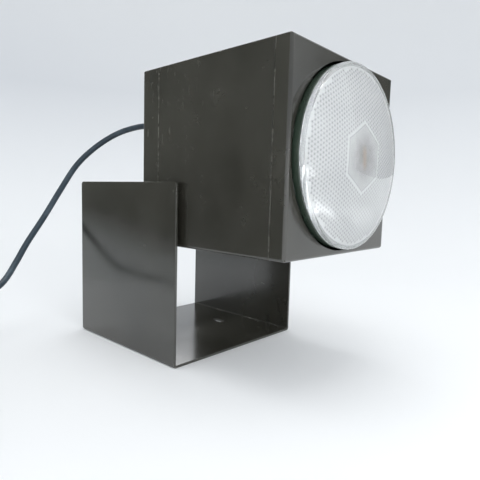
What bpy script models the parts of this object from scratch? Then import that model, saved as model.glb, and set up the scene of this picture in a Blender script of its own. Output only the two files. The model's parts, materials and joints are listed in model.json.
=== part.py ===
"""Display spotlight: a square sheet-steel box with a pressed-glass reflector lamp,
tilting between the arms of a U bracket that stands on its own base.

Units are metres and +Z is up. The origin is the centre of the bracket's underside.
The lamp shines along -Y, and the bracket's arms stand at -X and +X.
"""

import math

import bmesh
import bpy
from mathutils import Matrix, Vector

MM = 0.001
GAP = 0.3 * MM  # clearance between neighbouring solids

# Bracket: one strip of 2 mm steel bent into a U
YOKE_WIDTH = 142 * MM
YOKE_DEPTH = 133.5 * MM
YOKE_HEIGHT = 137 * MM
YOKE_SHEET = 2 * MM
YOKE_BEND = 2.6 * MM
YOKE_CORNER = 2.8 * MM
SLOT_SPACING = 77.6 * MM
SLOT_LENGTH = 13.5 * MM
SLOT_WIDTH = 5.5 * MM
SLOT_Y = -2.8 * MM

# Housing: a folded square sleeve closed by a cap at each end
HOUSING_WIDTH = 131 * MM
HOUSING_HEIGHT = 131.4 * MM
HOUSING_LENGTH = 140.5 * MM
HOUSING_BOTTOM = 89.8 * MM
BODY_SHEET = 1.2 * MM
CAP_SHEET = 0.7 * MM
CAP_BEND = 2.2 * MM
TOP_CORNER = 1.2 * MM
BOTTOM_CORNER = 2.2 * MM
FRONT_FLANGE = 12 * MM
REAR_FLANGE = 20 * MM
OPENING_RADIUS = 62.5 * MM

# Tongues welded inside the sleeve, which the caps slide over
TONGUE_HALF_WIDTH = 50 * MM
TONGUE_INSET = 1.0 * MM
TONGUE_SHEET = 1.0 * MM
FRONT_TONGUE = (3 * MM, 20 * MM)
REAR_TONGUE = (115 * MM, 137.5 * MM)

# Tilt pivot, set back from the housing's front face
PIVOT_SETBACK = 115.1 * MM
PIVOT_HEIGHT = 114 * MM
FRONT_Y = -159 * MM
PIVOT_Y = FRONT_Y + PIVOT_SETBACK
STUD_RADIUS = 3 * MM

AXIS_HEIGHT = HOUSING_BOTTOM + HOUSING_HEIGHT / 2

# Lamp: distances behind the housing's front face, and radii
LENS_CROWN = -15.5 * MM
LENS_SHOULDER = -8.8 * MM
LENS_SHOULDER_RADIUS = 59.2 * MM
LENS_RADIUS = 61.2 * MM
LENS_BACK = -4.2 * MM
LENS_GLASS = 2.6 * MM
REFLECTOR_GLASS = 3 * MM
REFLECTOR_FOCUS = 13 * MM
REFLECTOR_VERTEX = 64.5 * MM
NECK_RADIUS = 17.5 * MM

# Lamp base: the E27 screw shell
THREAD_CREST = 13.1 * MM
THREAD_ROOT = 12.2 * MM
THREAD_PITCH = 4.32 * MM

# Rear face fittings
VENT_WIDTH = 4 * MM
UPPER_VENTS = (203 * MM, 14 * MM, (-45, -35, -25, 25, 35, 45))
LOWER_VENTS = (109 * MM, 20 * MM, range(-44, 45, 11))
CABLE_HEIGHT = 190 * MM
CABLE_HOLE = 6.3 * MM
GLAND_REACH = 9 * MM
REAR_SCREW_HOLE = 2.2 * MM
HOLDER_SCREW_X = 15 * MM
BRACKET_SCREW_X = 40 * MM
EARTH_SCREW = (34 * MM, 176 * MM)
CAP_SCREW_X = 40 * MM
CAP_SCREW_HEAD = 2.6 * MM
CAP_SCREW_SHANK = 1.5 * MM
CAP_SCREW_SUNK = 0.15 * MM
CAP_SCREW_CONE = 1.3 * MM

# Cord, its coil and its plug
CORD_RADIUS = 2.75 * MM
BOOT_LENGTH = 25.2 * MM
COIL_CENTRE = (-247 * MM, -53 * MM)
COIL_INNER = 19.8 * MM
COIL_OUTER = 44.6 * MM
COIL_BOTTOM = 0.9 * MM
COIL_TOP = 12.2 * MM
TIE_THICKNESS = 0.6 * MM
TAIL_ANGLE = math.radians(150)
TAIL_RADIUS = 41.7 * MM
PLUG_RADIUS = 18 * MM
PLUG_PIN_RADIUS = 2.4 * MM
PLUG_PIN_SPACING = 19 * MM

# The cord's route from its strain relief to its coil, in millimetres
CORD_ROUTE = [
    (0, 10, 190), (-2, 24, 191), (-6.7, 45.7, 193), (-14.1, 63.7, 192.1), (-25.8, 81.7, 185.3),
    (-40.8, 95.7, 171.5), (-56.2, 103.7, 153.4), (-70.7, 108.2, 128.9), (-86.1, 109.7, 103.4),
    (-103.8, 106.7, 79.5), (-115.4, 102.7, 63.1), (-128.7, 95.7, 48.3), (-147, 84, 39.5),
    (-164, 67, 34), (-179, 44, 27), (-189, 20, 19.5), (-195.5, -4, 13.5), (-199, -25, 9.5),
    (-200.5, -42, 7),
]


# ---------------------------------------------------------------- materials

def clear_scene():
    for item in list(bpy.data.objects):
        bpy.data.objects.remove(item, do_unlink=True)


def make_material(name, colour, metallic, roughness, transmission=0.0):
    material = bpy.data.materials.new(name)
    material.use_nodes = True
    shader = material.node_tree.nodes["Principled BSDF"]
    shader.inputs["Base Color"].default_value = (*colour, 1.0)
    shader.inputs["Metallic"].default_value = metallic
    shader.inputs["Roughness"].default_value = roughness
    shader.inputs["Transmission Weight"].default_value = transmission
    return material


# ---------------------------------------------------------------- mesh tools

def depth(distance):
    """World Y of a place a given distance behind the housing's front face."""
    return FRONT_Y + distance


def finish(name, mesh_data, material, smooth_angle=None):
    """Turn a bmesh into a named object, with its faces pointing out."""
    bmesh.ops.recalc_face_normals(mesh_data, faces=mesh_data.faces)
    mesh = bpy.data.meshes.new(name)
    mesh_data.to_mesh(mesh)
    mesh_data.free()
    item = bpy.data.objects.new(name, mesh)
    bpy.context.collection.objects.link(item)
    if material:
        mesh.materials.append(material)
    if smooth_angle:
        mesh.shade_smooth()
        mesh.set_sharp_from_angle(angle=math.radians(smooth_angle))
    return item


def loft(rings, closed=False):
    """A bmesh through rings of equal length. Closed joins the last ring to the first,
    which makes a body with a hole; open fills both end rings."""
    mesh_data = bmesh.new()
    rows = [[mesh_data.verts.new(point) for point in ring] for ring in rings]
    count = len(rows[0])
    pairs = list(zip(rows, rows[1:] + rows[:1])) if closed else list(zip(rows, rows[1:]))
    for first, second in pairs:
        for i in range(count):
            j = (i + 1) % count
            mesh_data.faces.new((first[i], first[j], second[j], second[i]))
    if not closed:
        mesh_data.faces.new(rows[0])
        mesh_data.faces.new(rows[-1])
    return mesh_data


def axis_frame(origin, direction):
    """A matrix whose Z runs along direction from origin."""
    turn = Vector(direction).to_track_quat("Z", "Y").to_matrix().to_4x4()
    return Matrix.Translation(origin) @ turn


def turned(name, profile, origin, direction, material, segments=32, closed=False, smooth_angle=40):
    """A turned body. The profile is a list of (radius, distance along the axis).
    An open profile may start or end on the axis."""
    frame = axis_frame(origin, direction)
    mesh_data = bmesh.new()
    rows = []
    for radius, along in profile:
        if radius < 1e-7:
            rows.append([mesh_data.verts.new(frame @ Vector((0, 0, along)))])
            continue
        row = []
        for k in range(segments):
            angle = 2 * math.pi * k / segments
            spot = Vector((radius * math.cos(angle), radius * math.sin(angle), along))
            row.append(mesh_data.verts.new(frame @ spot))
        rows.append(row)
    pairs = list(zip(rows, rows[1:] + rows[:1])) if closed else list(zip(rows, rows[1:]))
    for first, second in pairs:
        for k in range(segments):
            n = (k + 1) % segments
            if len(first) == 1:
                mesh_data.faces.new((first[0], second[n], second[k]))
            elif len(second) == 1:
                mesh_data.faces.new((first[k], first[n], second[0]))
            else:
                mesh_data.faces.new((first[k], first[n], second[n], second[k]))
    if not closed:
        for row in (rows[0], rows[-1]):
            if len(row) > 1:
                mesh_data.faces.new(row)
    return finish(name, mesh_data, material, smooth_angle)


def box(name, low, high, material=None, bevel=0.0):
    """A box between two corners, with its edges rounded if bevel is given."""
    mesh_data = bmesh.new()
    bmesh.ops.create_cube(mesh_data, size=1.0)
    low, high = Vector(low), Vector(high)
    size = high - low
    for vertex in mesh_data.verts:
        vertex.co = (low + high) / 2 + Vector([vertex.co[i] * size[i] for i in range(3)])
    if bevel:
        bmesh.ops.bevel(
            mesh_data, geom=mesh_data.edges[:], offset=bevel, segments=2,
            profile=0.5, affect="EDGES",
        )
    return finish(name, mesh_data, material)


def boxes(name, corner_pairs):
    """Several separate boxes in one cutter."""
    mesh_data = bmesh.new()
    for low, high in corner_pairs:
        made = bmesh.ops.create_cube(mesh_data, size=1.0)["verts"]
        low, high = Vector(low), Vector(high)
        size = high - low
        for vertex in made:
            vertex.co = (low + high) / 2 + Vector([vertex.co[i] * size[i] for i in range(3)])
    return finish(name, mesh_data, None)


def rod(name, radius, start, end, segments=24):
    """A plain round bar between two points, used as a cutter."""
    start, end = Vector(start), Vector(end)
    length = (end - start).length
    return turned(name, [(radius, 0), (radius, length)], start, end - start, None, segments)


def combine(target, others, operation):
    """Join other solids to target or take them out of it, and hide them from the build."""
    for other in others:
        other.hide_render = True
        other.display_type = "WIRE"
        modifier = target.modifiers.new(other.name, "BOOLEAN")
        modifier.operation = operation
        modifier.object = other


def cut(target, *cutters):
    """Take cutters out of target."""
    combine(target, cutters, "DIFFERENCE")


def join(target, *additions):
    """Weld additions to target."""
    combine(target, additions, "UNION")


def tube(name, points, radius, material, resolution=2):
    """A round lead along a smooth line of points."""
    curve = bpy.data.curves.new(name, "CURVE")
    curve.dimensions = "3D"
    curve.bevel_depth = radius
    curve.bevel_resolution = resolution
    curve.use_fill_caps = True
    spline = curve.splines.new("POLY")
    spline.points.add(len(points) - 1)
    for place, point in zip(spline.points, points):
        place.co = (*point, 1.0)
    curve.materials.append(material)
    item = bpy.data.objects.new(name, curve)
    bpy.context.collection.objects.link(item)
    return item


def smooth_line(route, spacing):
    """Points along a Catmull-Rom curve through the route, about spacing apart."""
    spots = [Vector(p) * MM for p in route]
    spots = [2 * spots[0] - spots[1]] + spots + [2 * spots[-1] - spots[-2]]
    fine = []
    for a, b, c, d in zip(spots, spots[1:], spots[2:], spots[3:]):
        for step in range(24):
            t = step / 24
            fine.append(
                0.5 * (2 * b + (c - a) * t + (2 * a - 5 * b + 4 * c - d) * t**2
                       + (3 * b - a - 3 * c + d) * t**3)
            )
    fine.append(spots[-2])
    lengths = [0.0]
    for first, second in zip(fine, fine[1:]):
        lengths.append(lengths[-1] + (second - first).length)
    count = max(2, round(lengths[-1] / spacing))
    line, k = [], 0
    for i in range(count + 1):
        wanted = lengths[-1] * i / count
        while k < len(lengths) - 2 and lengths[k + 1] < wanted:
            k += 1
        share = (wanted - lengths[k]) / (lengths[k + 1] - lengths[k])
        line.append(fine[k].lerp(fine[k + 1], share))
    return line


def housing_outline(shrink, distance, steps=3):
    """Points round the housing's square section, shrunk by a sheet's thickness or a bend's inset.
    Its top corners are folded tighter than its bottom ones."""
    half_width, half_height = HOUSING_WIDTH / 2 - shrink, HOUSING_HEIGHT / 2 - shrink
    y = depth(distance)
    points = []
    corners = [(1, 1, 0), (-1, 1, 90), (-1, -1, 180), (1, -1, 270)]
    for side_x, side_z, start in corners:
        corner = TOP_CORNER if side_z > 0 else BOTTOM_CORNER
        radius = max(corner - shrink, 0.3 * MM)
        for k in range(steps + 1):
            angle = math.radians(start + 90 * k / steps)
            x = side_x * (half_width - radius) + radius * math.cos(angle)
            z = side_z * (half_height - radius) + radius * math.sin(angle)
            points.append((x, y, AXIS_HEIGHT + z))
    return points


def hexagon_nut(name, across_flats, hole, origin, direction, height, material):
    """A hexagon with a round hole."""
    frame = axis_frame(origin, direction)
    outer, inner = [], []
    for k in range(12):
        angle = 2 * math.pi * k / 12
        inside = (angle % (math.pi / 3)) - math.pi / 6
        reach = across_flats / 2 / math.cos(inside)
        outer.append((reach * math.cos(angle), reach * math.sin(angle)))
        inner.append((hole * math.cos(angle), hole * math.sin(angle)))
    rings = []
    for outline, z in ((outer, 0), (outer, height), (inner, height), (inner, 0)):
        rings.append([frame @ Vector((x, y, z)) for x, y in outline])
    return finish(name, loft(rings, closed=True), material)


def slotted_screw(name, origin, direction, head_radius, head_height, shank_radius, reach, material):
    """A pan-head screw. Its head stands out along direction and its shank runs the other way."""
    profile = [
        (0, -reach), (shank_radius * 0.6, -reach), (shank_radius, -reach + shank_radius),
        (shank_radius, 0), (head_radius, 0), (head_radius, head_height * 0.55),
        (head_radius * 0.8, head_height * 0.9), (head_radius * 0.45, head_height), (0, head_height),
    ]
    screw = turned(name, profile, origin, direction, material, segments=12)
    frame = axis_frame(origin, direction)
    slot = box(
        f"{name}_slot", (-head_radius * 1.2, -0.45 * MM, head_height * 0.5),
        (head_radius * 1.2, 0.45 * MM, head_height * 1.5),
    )
    slot.data.transform(frame)
    cut(screw, slot)
    return screw


# ---------------------------------------------------------------- bracket and pivot

def make_yoke(paint):
    """The U bracket, bent from one strip, with two slots in its base."""
    half = YOKE_WIDTH / 2
    inner_bend = YOKE_BEND - YOKE_SHEET
    outline = [(half, YOKE_HEIGHT), (half - YOKE_SHEET, YOKE_HEIGHT)]
    steps = 4
    right_inner = []
    for k in range(steps + 1):
        angle = math.radians(-90 * k / steps)
        x = half - YOKE_BEND + inner_bend * math.cos(angle)
        z = YOKE_BEND + inner_bend * math.sin(angle)
        right_inner.append((x, z))
    outline += right_inner
    outline += [(-x, z) for x, z in reversed(right_inner)]
    outline += [(-half + YOKE_SHEET, YOKE_HEIGHT), (-half, YOKE_HEIGHT)]
    left_outer = []
    for k in range(steps + 1):
        angle = math.radians(180 + 90 * k / steps)
        x = -half + YOKE_BEND + YOKE_BEND * math.cos(angle)
        z = YOKE_BEND + YOKE_BEND * math.sin(angle)
        left_outer.append((x, z))
    outline += left_outer
    outline += [(-x, z) for x, z in reversed(left_outer)]
    back = YOKE_DEPTH / 2
    mesh_data = loft([[(x, y, z) for x, z in outline] for y in (-back, back)])
    top_corners = [
        edge for edge in mesh_data.edges
        if all(abs(v.co.z - YOKE_HEIGHT) < 1e-6 for v in edge.verts)
        and abs(edge.verts[0].co.y - edge.verts[1].co.y) < 1e-6
    ]
    bmesh.ops.bevel(
        mesh_data, geom=top_corners, offset=YOKE_CORNER, segments=4, profile=0.5, affect="EDGES"
    )
    yoke = finish("yoke_bracket", mesh_data, paint)
    slots = []
    for side, sign in (("left", -1), ("right", 1)):
        x = sign * SLOT_SPACING / 2
        rings = []
        for z in (-1 * MM, YOKE_SHEET + 1 * MM):
            ring = []
            for end, start in ((1, 0), (-1, 180)):
                for k in range(9):
                    angle = math.radians(start + 180 * k / 8)
                    y = SLOT_Y + end * (SLOT_LENGTH - SLOT_WIDTH) / 2 + SLOT_WIDTH / 2 * math.sin(angle)
                    ring.append((x + SLOT_WIDTH / 2 * math.cos(angle), y, z))
            rings.append(ring)
        slots.append(finish(f"cut_base_slot_{side}", loft(rings), None))
    cut(yoke, *slots)
    return yoke


def make_pivot(side, sign, steel, fibre):
    """One pivot: a stud fixed to the bracket's arm, with its spacer, washers and nut."""
    arm = YOKE_WIDTH / 2 - YOKE_SHEET
    wall = HOUSING_WIDTH / 2
    inward = (-sign, 0, 0)

    def at(x):
        return (sign * x, PIVOT_Y, PIVOT_HEIGHT)

    stud_start = arm - GAP
    stud = [
        (0, 0), (6.5 * MM, 0), (6.5 * MM, 1.2 * MM), (STUD_RADIUS, 1.2 * MM),
        (STUD_RADIUS, 17 * MM), (STUD_RADIUS - 0.8 * MM, 18 * MM), (0, 18 * MM),
    ]
    turned(f"pivot_stud_{side}", stud, at(stud_start), inward, steel, segments=16)
    clear = STUD_RADIUS + GAP
    spacer_start = stud_start - 1.2 * MM - GAP
    spacer_length = spacer_start - wall - GAP
    spacer = [(5.2 * MM, 0), (5.2 * MM, spacer_length), (clear, spacer_length), (clear, 0)]
    turned(f"pivot_spacer_{side}", spacer, at(spacer_start), inward, fibre, 16, closed=True)
    washer_start = wall - BODY_SHEET - GAP
    washer = [(6.2 * MM, 0), (6.2 * MM, 1.4 * MM), (clear, 1.4 * MM), (clear, 0)]
    turned(f"pivot_washer_{side}", washer, at(washer_start), inward, steel, 16, closed=True)
    spring_start = washer_start - 1.4 * MM - GAP
    spring = [(5.4 * MM, 0), (5.4 * MM, 1.4 * MM), (clear, 1.4 * MM), (clear, 0)]
    ring = turned(
        f"pivot_spring_washer_{side}", spring, at(spring_start), inward, steel, 16, closed=True
    )
    split = box(
        f"cut_spring_split_{side}", (-4 * MM, -0.5 * MM, 2 * MM), (4 * MM, 0.5 * MM, 8 * MM)
    )
    split.data.transform(Matrix.Translation(at(spring_start - 0.7 * MM)))
    cut(ring, split)
    nut_start = spring_start - 1.4 * MM - GAP
    hexagon_nut(f"pivot_nut_{side}", 10 * MM, clear, at(nut_start), inward, 5 * MM, steel)


# ---------------------------------------------------------------- housing

def make_body(paint):
    """The square sleeve between the two caps, with the tongues that reach under their flanges."""
    front, back = FRONT_FLANGE + GAP, HOUSING_LENGTH - REAR_FLANGE - GAP
    rings = [
        housing_outline(0, front), housing_outline(0, back),
        housing_outline(BODY_SHEET, back), housing_outline(BODY_SHEET, front),
    ]
    body = finish("housing_body", loft(rings, closed=True), paint, 30)
    tongues = []
    for end, (near, far) in (("front", FRONT_TONGUE), ("rear", REAR_TONGUE)):
        for side, sign in (("top", 1), ("bottom", -1)):
            outside = AXIS_HEIGHT + sign * (HOUSING_HEIGHT / 2 - TONGUE_INSET)
            inside = outside - sign * TONGUE_SHEET
            low = (-TONGUE_HALF_WIDTH, depth(near), min(outside, inside))
            high = (TONGUE_HALF_WIDTH, depth(far), max(outside, inside))
            tongues.append(box(f"weld_{end}_tongue_{side}", low, high))
    join(body, *tongues)
    reach = HOUSING_WIDTH / 2 + 5 * MM
    pivot_hole = rod(
        "cut_pivot_holes", STUD_RADIUS + GAP,
        (-reach, PIVOT_Y, PIVOT_HEIGHT), (reach, PIVOT_Y, PIVOT_HEIGHT), 16,
    )
    cut(body, pivot_hole, *screw_holes("body"))
    return body


def cap_screw_places():
    """Name, and place on the housing's underside, of each screw that holds a cap."""
    places = []
    for end, distance in (("front", FRONT_FLANGE / 2), ("rear", HOUSING_LENGTH - REAR_FLANGE / 2)):
        for side, sign in (("left", -1), ("right", 1)):
            places.append((end, side, (sign * CAP_SCREW_X, depth(distance), HOUSING_BOTTOM)))
    return places


def screw_holes(piece):
    """Cutters for the countersunk holes of the cap screws, in the sleeve or in one cap."""
    holes = []
    slope = (CAP_SCREW_HEAD - CAP_SCREW_SHANK) / CAP_SCREW_CONE
    room = GAP * 1.2
    outside = 1 * MM
    profile = [
        (CAP_SCREW_HEAD + room + slope * (CAP_SCREW_SUNK + outside), -outside),
        (CAP_SCREW_SHANK + room, CAP_SCREW_SUNK + CAP_SCREW_CONE),
        (CAP_SCREW_SHANK + room, 5 * MM),
    ]
    for end, side, place in cap_screw_places():
        if piece in ("body", end):
            holes.append(
                turned(f"cut_{piece}_screw_{end}_{side}", profile, place, (0, 0, 1), None, 16)
            )
    return holes


def cap_shell(name, face, mouth, paint):
    """A shallow square tray: its face at one distance behind the front, its mouth at another."""
    rows = []
    away = 1 if mouth > face else -1
    steps = 3
    for k in range(steps + 1):
        angle = math.radians(90 * k / steps)
        inset = CAP_BEND * (1 - math.sin(angle))
        along = CAP_BEND * (1 - math.cos(angle))
        rows.append(housing_outline(inset, face + away * along))
    rows.append(housing_outline(0, mouth))
    rows.append(housing_outline(CAP_SHEET, mouth))
    inner_bend = CAP_BEND - CAP_SHEET
    for k in range(steps, -1, -1):
        angle = math.radians(90 * k / steps)
        inset = CAP_SHEET + inner_bend * (1 - math.sin(angle))
        along = CAP_SHEET + inner_bend * (1 - math.cos(angle))
        rows.append(housing_outline(inset, face + away * along))
    return finish(name, loft(rows), paint, 30)


def make_front_cap(paint):
    """The front cap, with the round opening that the lamp stands out of."""
    cap = cap_shell("front_cap", 0, FRONT_FLANGE, paint)
    opening = rod(
        "cut_lamp_opening", OPENING_RADIUS,
        (0, depth(-3 * MM), AXIS_HEIGHT), (0, depth(3 * MM), AXIS_HEIGHT), 60,
    )
    cut(cap, opening, *screw_holes("front"))
    return cap


def make_rear_cap(paint):
    """The rear cap: vent slots, the cord's hole and the holes for the holder and earth screws."""
    cap = cap_shell("rear_cap", HOUSING_LENGTH, HOUSING_LENGTH - REAR_FLANGE, paint)
    y0, y1 = depth(HOUSING_LENGTH - 3 * MM), depth(HOUSING_LENGTH + 3 * MM)
    vents = []
    for row_z, height, columns in (UPPER_VENTS, LOWER_VENTS):
        for column in columns:
            x = column * MM
            low = (x - VENT_WIDTH / 2, y0, row_z - height / 2)
            vents.append((low, (x + VENT_WIDTH / 2, y1, row_z + height / 2)))
    cutters = [boxes("cut_rear_vents", vents)]
    cutters.append(rod("cut_cable_hole", CABLE_HOLE, (0, y0, CABLE_HEIGHT), (0, y1, CABLE_HEIGHT)))
    for side, sign in (("left", -1), ("right", 1)):
        x, z = sign * BRACKET_SCREW_X, AXIS_HEIGHT
        cutters.append(rod(f"cut_rear_bracket_{side}", REAR_SCREW_HOLE, (x, y0, z), (x, y1, z), 16))
    x, z = EARTH_SCREW
    cutters.append(rod("cut_rear_earth", REAR_SCREW_HOLE, (x, y0, z), (x, y1, z), 16))
    cut(cap, *cutters, *screw_holes("rear"))
    return cap


def make_cap_screws(steel):
    """Two countersunk screws under each cap, their slotted heads just below its surface."""
    tip = 6 * MM
    cone_end = CAP_SCREW_SUNK + CAP_SCREW_CONE
    profile = [
        (0, CAP_SCREW_SUNK), (CAP_SCREW_HEAD, CAP_SCREW_SUNK), (CAP_SCREW_SHANK, cone_end),
        (CAP_SCREW_SHANK, tip - CAP_SCREW_SHANK), (CAP_SCREW_SHANK * 0.6, tip), (0, tip),
    ]
    for end, side, place in cap_screw_places():
        screw = turned(f"{end}_cap_screw_{side}", profile, place, (0, 0, 1), steel, segments=12)
        half = CAP_SCREW_HEAD * 1.2
        slot = box(
            f"cut_{end}_cap_screw_{side}", (-half, -0.45 * MM, -1 * MM), (half, 0.45 * MM, 0.7 * MM)
        )
        slot.data.transform(Matrix.Translation(place))
        cut(screw, slot)


# ---------------------------------------------------------------- lamp

def lamp_axis():
    """Where the lamp's axis meets the plane of the housing's front face."""
    return (0, depth(0), AXIS_HEIGHT)


def dome(crown, shoulder, radius, steps):
    """Points of a shallow spherical dome, from its crown out to its shoulder."""
    rise = shoulder - crown
    sphere = (radius**2 + rise**2) / (2 * rise)
    points = []
    for k in range(steps + 1):
        r = radius * k / steps
        points.append((r, crown + sphere - math.sqrt(sphere**2 - r**2)))
    return points


def make_lens(glass):
    """The pressed front glass: a shallow dome, a rounded shoulder and a flat sealing rim."""
    profile = dome(LENS_CROWN, LENS_SHOULDER, LENS_SHOULDER_RADIUS, 3)
    fillet = LENS_RADIUS - LENS_SHOULDER_RADIUS
    for k in range(1, 4):
        angle = math.radians(90 * k / 3)
        radius = LENS_SHOULDER_RADIUS + fillet * math.sin(angle)
        profile.append((radius, LENS_SHOULDER + fillet * (1 - math.cos(angle))))
    profile.append((LENS_RADIUS, LENS_BACK))
    profile.append((58.2 * MM, LENS_BACK))
    inner = dome(LENS_CROWN + LENS_GLASS, LENS_SHOULDER + LENS_GLASS, 58 * MM, 2)
    profile += reversed(inner)
    turned("lamp_lens", profile, lamp_axis(), (0, 1, 0), glass, 48)


def paraboloid(distance, offset=0.0):
    """Radius of the bowl's inner face at a distance behind the front face, or that much outside it."""
    return math.sqrt(4 * REFLECTOR_FOCUS * (REFLECTOR_VERTEX - distance)) + offset


def make_reflector(mirror):
    """The pressed bowl with its sealing rim and neck, open towards the lens."""
    start = LENS_BACK + GAP
    inner_ends = [2 * MM, 18 * MM, 34 * MM, 48 * MM, 57 * MM, 61 * MM]
    inner = [(57.2 * MM, start)] + [(paraboloid(d), d) for d in inner_ends]
    inner += [(13 * MM, 62 * MM), (13 * MM, 77.5 * MM), (0, 77.5 * MM)]
    outer = [(LENS_RADIUS - 0.2 * MM, start), (LENS_RADIUS - 0.2 * MM, 1.5 * MM), (59.2 * MM, 5 * MM)]
    outer_ends = [18 * MM, 32 * MM, 46 * MM, 57 * MM]
    outer += [(paraboloid(d, REFLECTOR_GLASS), d) for d in outer_ends]
    outer += [(19.5 * MM, 63 * MM), (NECK_RADIUS, 67 * MM), (NECK_RADIUS, 80 * MM), (0, 80 * MM)]
    profile = list(reversed(inner)) + outer
    turned("lamp_reflector", profile, lamp_axis(), (0, 1, 0), mirror, 40)


def make_lamp_base(brass, black):
    """The skirt, the screw shell with its thread rings, the insulator and the centre contact."""
    skirt = [
        (19.6 * MM, 68.5 * MM), (19.6 * MM, 84 * MM), (14.6 * MM, 92.2 * MM), (12 * MM, 92.2 * MM),
        (12 * MM, 91 * MM), (17.9 * MM, 83 * MM), (17.9 * MM, 68.5 * MM),
    ]
    turned("lamp_skirt", skirt, lamp_axis(), (0, 1, 0), brass, 28, closed=True)
    shell = [(THREAD_CREST, 92.5 * MM), (THREAD_CREST, 95 * MM)]
    for turn in range(5):
        base = 96 * MM + turn * THREAD_PITCH
        shell += [(THREAD_ROOT, base), (THREAD_CREST, base + THREAD_PITCH / 2)]
    shell += [(THREAD_ROOT, 117.6 * MM), (10.8 * MM, 117.6 * MM), (10.8 * MM, 92.5 * MM)]
    turned("lamp_base_shell", shell, lamp_axis(), (0, 1, 0), brass, 24, closed=True, smooth_angle=60)
    plug = [(0, 116 * MM), (10.4 * MM, 116 * MM), (10.4 * MM, 117.8 * MM), (5.4 * MM, 119.4 * MM),
            (0, 119.4 * MM)]
    turned("lamp_base_insulator", plug, lamp_axis(), (0, 1, 0), black, 20)
    contact = [(0, 119.7 * MM), (4.6 * MM, 119.7 * MM), (3.4 * MM, 120.7 * MM), (0, 120.7 * MM)]
    turned("lamp_base_contact", contact, lamp_axis(), (0, 1, 0), brass, 16)


def make_filament(tungsten):
    """The coiled filament at the focus, between its two lead wires."""
    focus = REFLECTOR_VERTEX - REFLECTOR_FOCUS
    lead_end, half, coil = 76 * MM, 9 * MM, 1.3 * MM
    low, high = AXIS_HEIGHT - half, AXIS_HEIGHT + half
    points = [Vector((0, depth(lead_end), low)), Vector((0, depth(focus), low))]
    turns, steps = 4, 6
    for k in range(turns * steps + 1):
        angle = 2 * math.pi * k / steps
        z = AXIS_HEIGHT - half * 0.8 + 1.6 * half * k / (turns * steps)
        points.append(Vector((coil * math.sin(angle), depth(focus - coil * math.cos(angle)), z)))
    points += [Vector((0, depth(focus), high)), Vector((0, depth(lead_end), high))]
    tube("lamp_filament", points, 0.3 * MM, tungsten, resolution=0)


# ---------------------------------------------------------------- lamp holder and wiring

def make_holder(ceramic, brass):
    """The ceramic holder with its brass sleeve, bottom contact and side terminals."""
    cup = [
        (0, 122 * MM), (14.6 * MM, 122 * MM), (14.6 * MM, 96 * MM), (16.2 * MM, 93.6 * MM),
        (21 * MM, 93.6 * MM), (22.5 * MM, 95.4 * MM), (22.5 * MM, 117 * MM), (19 * MM, 121 * MM),
        (19 * MM, 132.3 * MM), (0, 132.3 * MM),
    ]
    holder = turned("lampholder_body", cup, lamp_axis(), (0, 1, 0), ceramic, 28)
    cutters = []
    for side, sign in (("left", -1), ("right", 1)):
        x = sign * HOLDER_SCREW_X
        start, end = (x, depth(124.5 * MM), AXIS_HEIGHT), (x, depth(134 * MM), AXIS_HEIGHT)
        cutters.append(rod(f"cut_holder_screw_{side}", 2 * MM, start, end, 16))
    cut(holder, *cutters)
    sleeve = [(14.3 * MM, 97 * MM), (14.3 * MM, 120.5 * MM), (13.6 * MM, 120.5 * MM), (13.6 * MM, 97 * MM)]
    turned("lampholder_sleeve", sleeve, lamp_axis(), (0, 1, 0), brass, 24, closed=True)
    box("lampholder_contact", (-3 * MM, depth(121 * MM), AXIS_HEIGHT - 9 * MM),
        (3 * MM, depth(121.7 * MM), AXIS_HEIGHT + 5 * MM), brass)
    for name, sign in (("terminal_live", 1), ("terminal_neutral", -1)):
        z = AXIS_HEIGHT + sign * (19 * MM + GAP)
        profile = [(0, 0), (3.2 * MM, 0), (3.2 * MM, 3 * MM), (2.2 * MM, 3.6 * MM), (0, 3.6 * MM)]
        turned(name, profile, (0, depth(126.5 * MM), z), (0, 0, sign), brass, 16)


def make_holder_bracket(steel):
    """The strap that carries the holder on the rear cap, and its four screws."""
    back = depth(HOUSING_LENGTH - CAP_SHEET - GAP)
    sheet = 1.5 * MM
    front = depth(132.6 * MM)
    half_height = 11 * MM
    line = [(-46 * MM, back - sheet), (-33 * MM, back - sheet), (-29 * MM, front), (29 * MM, front),
            (33 * MM, back - sheet), (46 * MM, back - sheet)]
    outline = line + [(x, y + sheet) for x, y in reversed(line)]
    rings = [[(x, y, z) for x, y in outline] for z in (AXIS_HEIGHT - half_height, AXIS_HEIGHT + half_height)]
    bracket = finish("holder_bracket", loft(rings), steel)
    cutters = []
    for side, sign in (("left", -1), ("right", 1)):
        for label, x in (("holder", sign * HOLDER_SCREW_X), ("outer", sign * BRACKET_SCREW_X)):
            start, end = (x, front - 2 * MM, AXIS_HEIGHT), (x, back + 2 * MM, AXIS_HEIGHT)
            cutters.append(rod(f"cut_bracket_{label}_{side}", 2.1 * MM, start, end, 16))
        head = (sign * HOLDER_SCREW_X, front + sheet + GAP, AXIS_HEIGHT)
        profile = [(0, -8 * MM), (1.7 * MM, -8 * MM), (1.7 * MM, 0), (3.2 * MM, 0), (3.2 * MM, 1 * MM),
                   (2.4 * MM, 1.3 * MM), (0, 1.3 * MM)]
        turned(f"holder_screw_{side}", profile, head, (0, 1, 0), steel, 16)
        outside = (sign * BRACKET_SCREW_X, depth(HOUSING_LENGTH) + GAP, AXIS_HEIGHT)
        slotted_screw(f"bracket_screw_{side}", outside, (0, 1, 0), 3.4 * MM, 2 * MM, 1.8 * MM, 9 * MM, steel)
    cut(bracket, *cutters)


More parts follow.
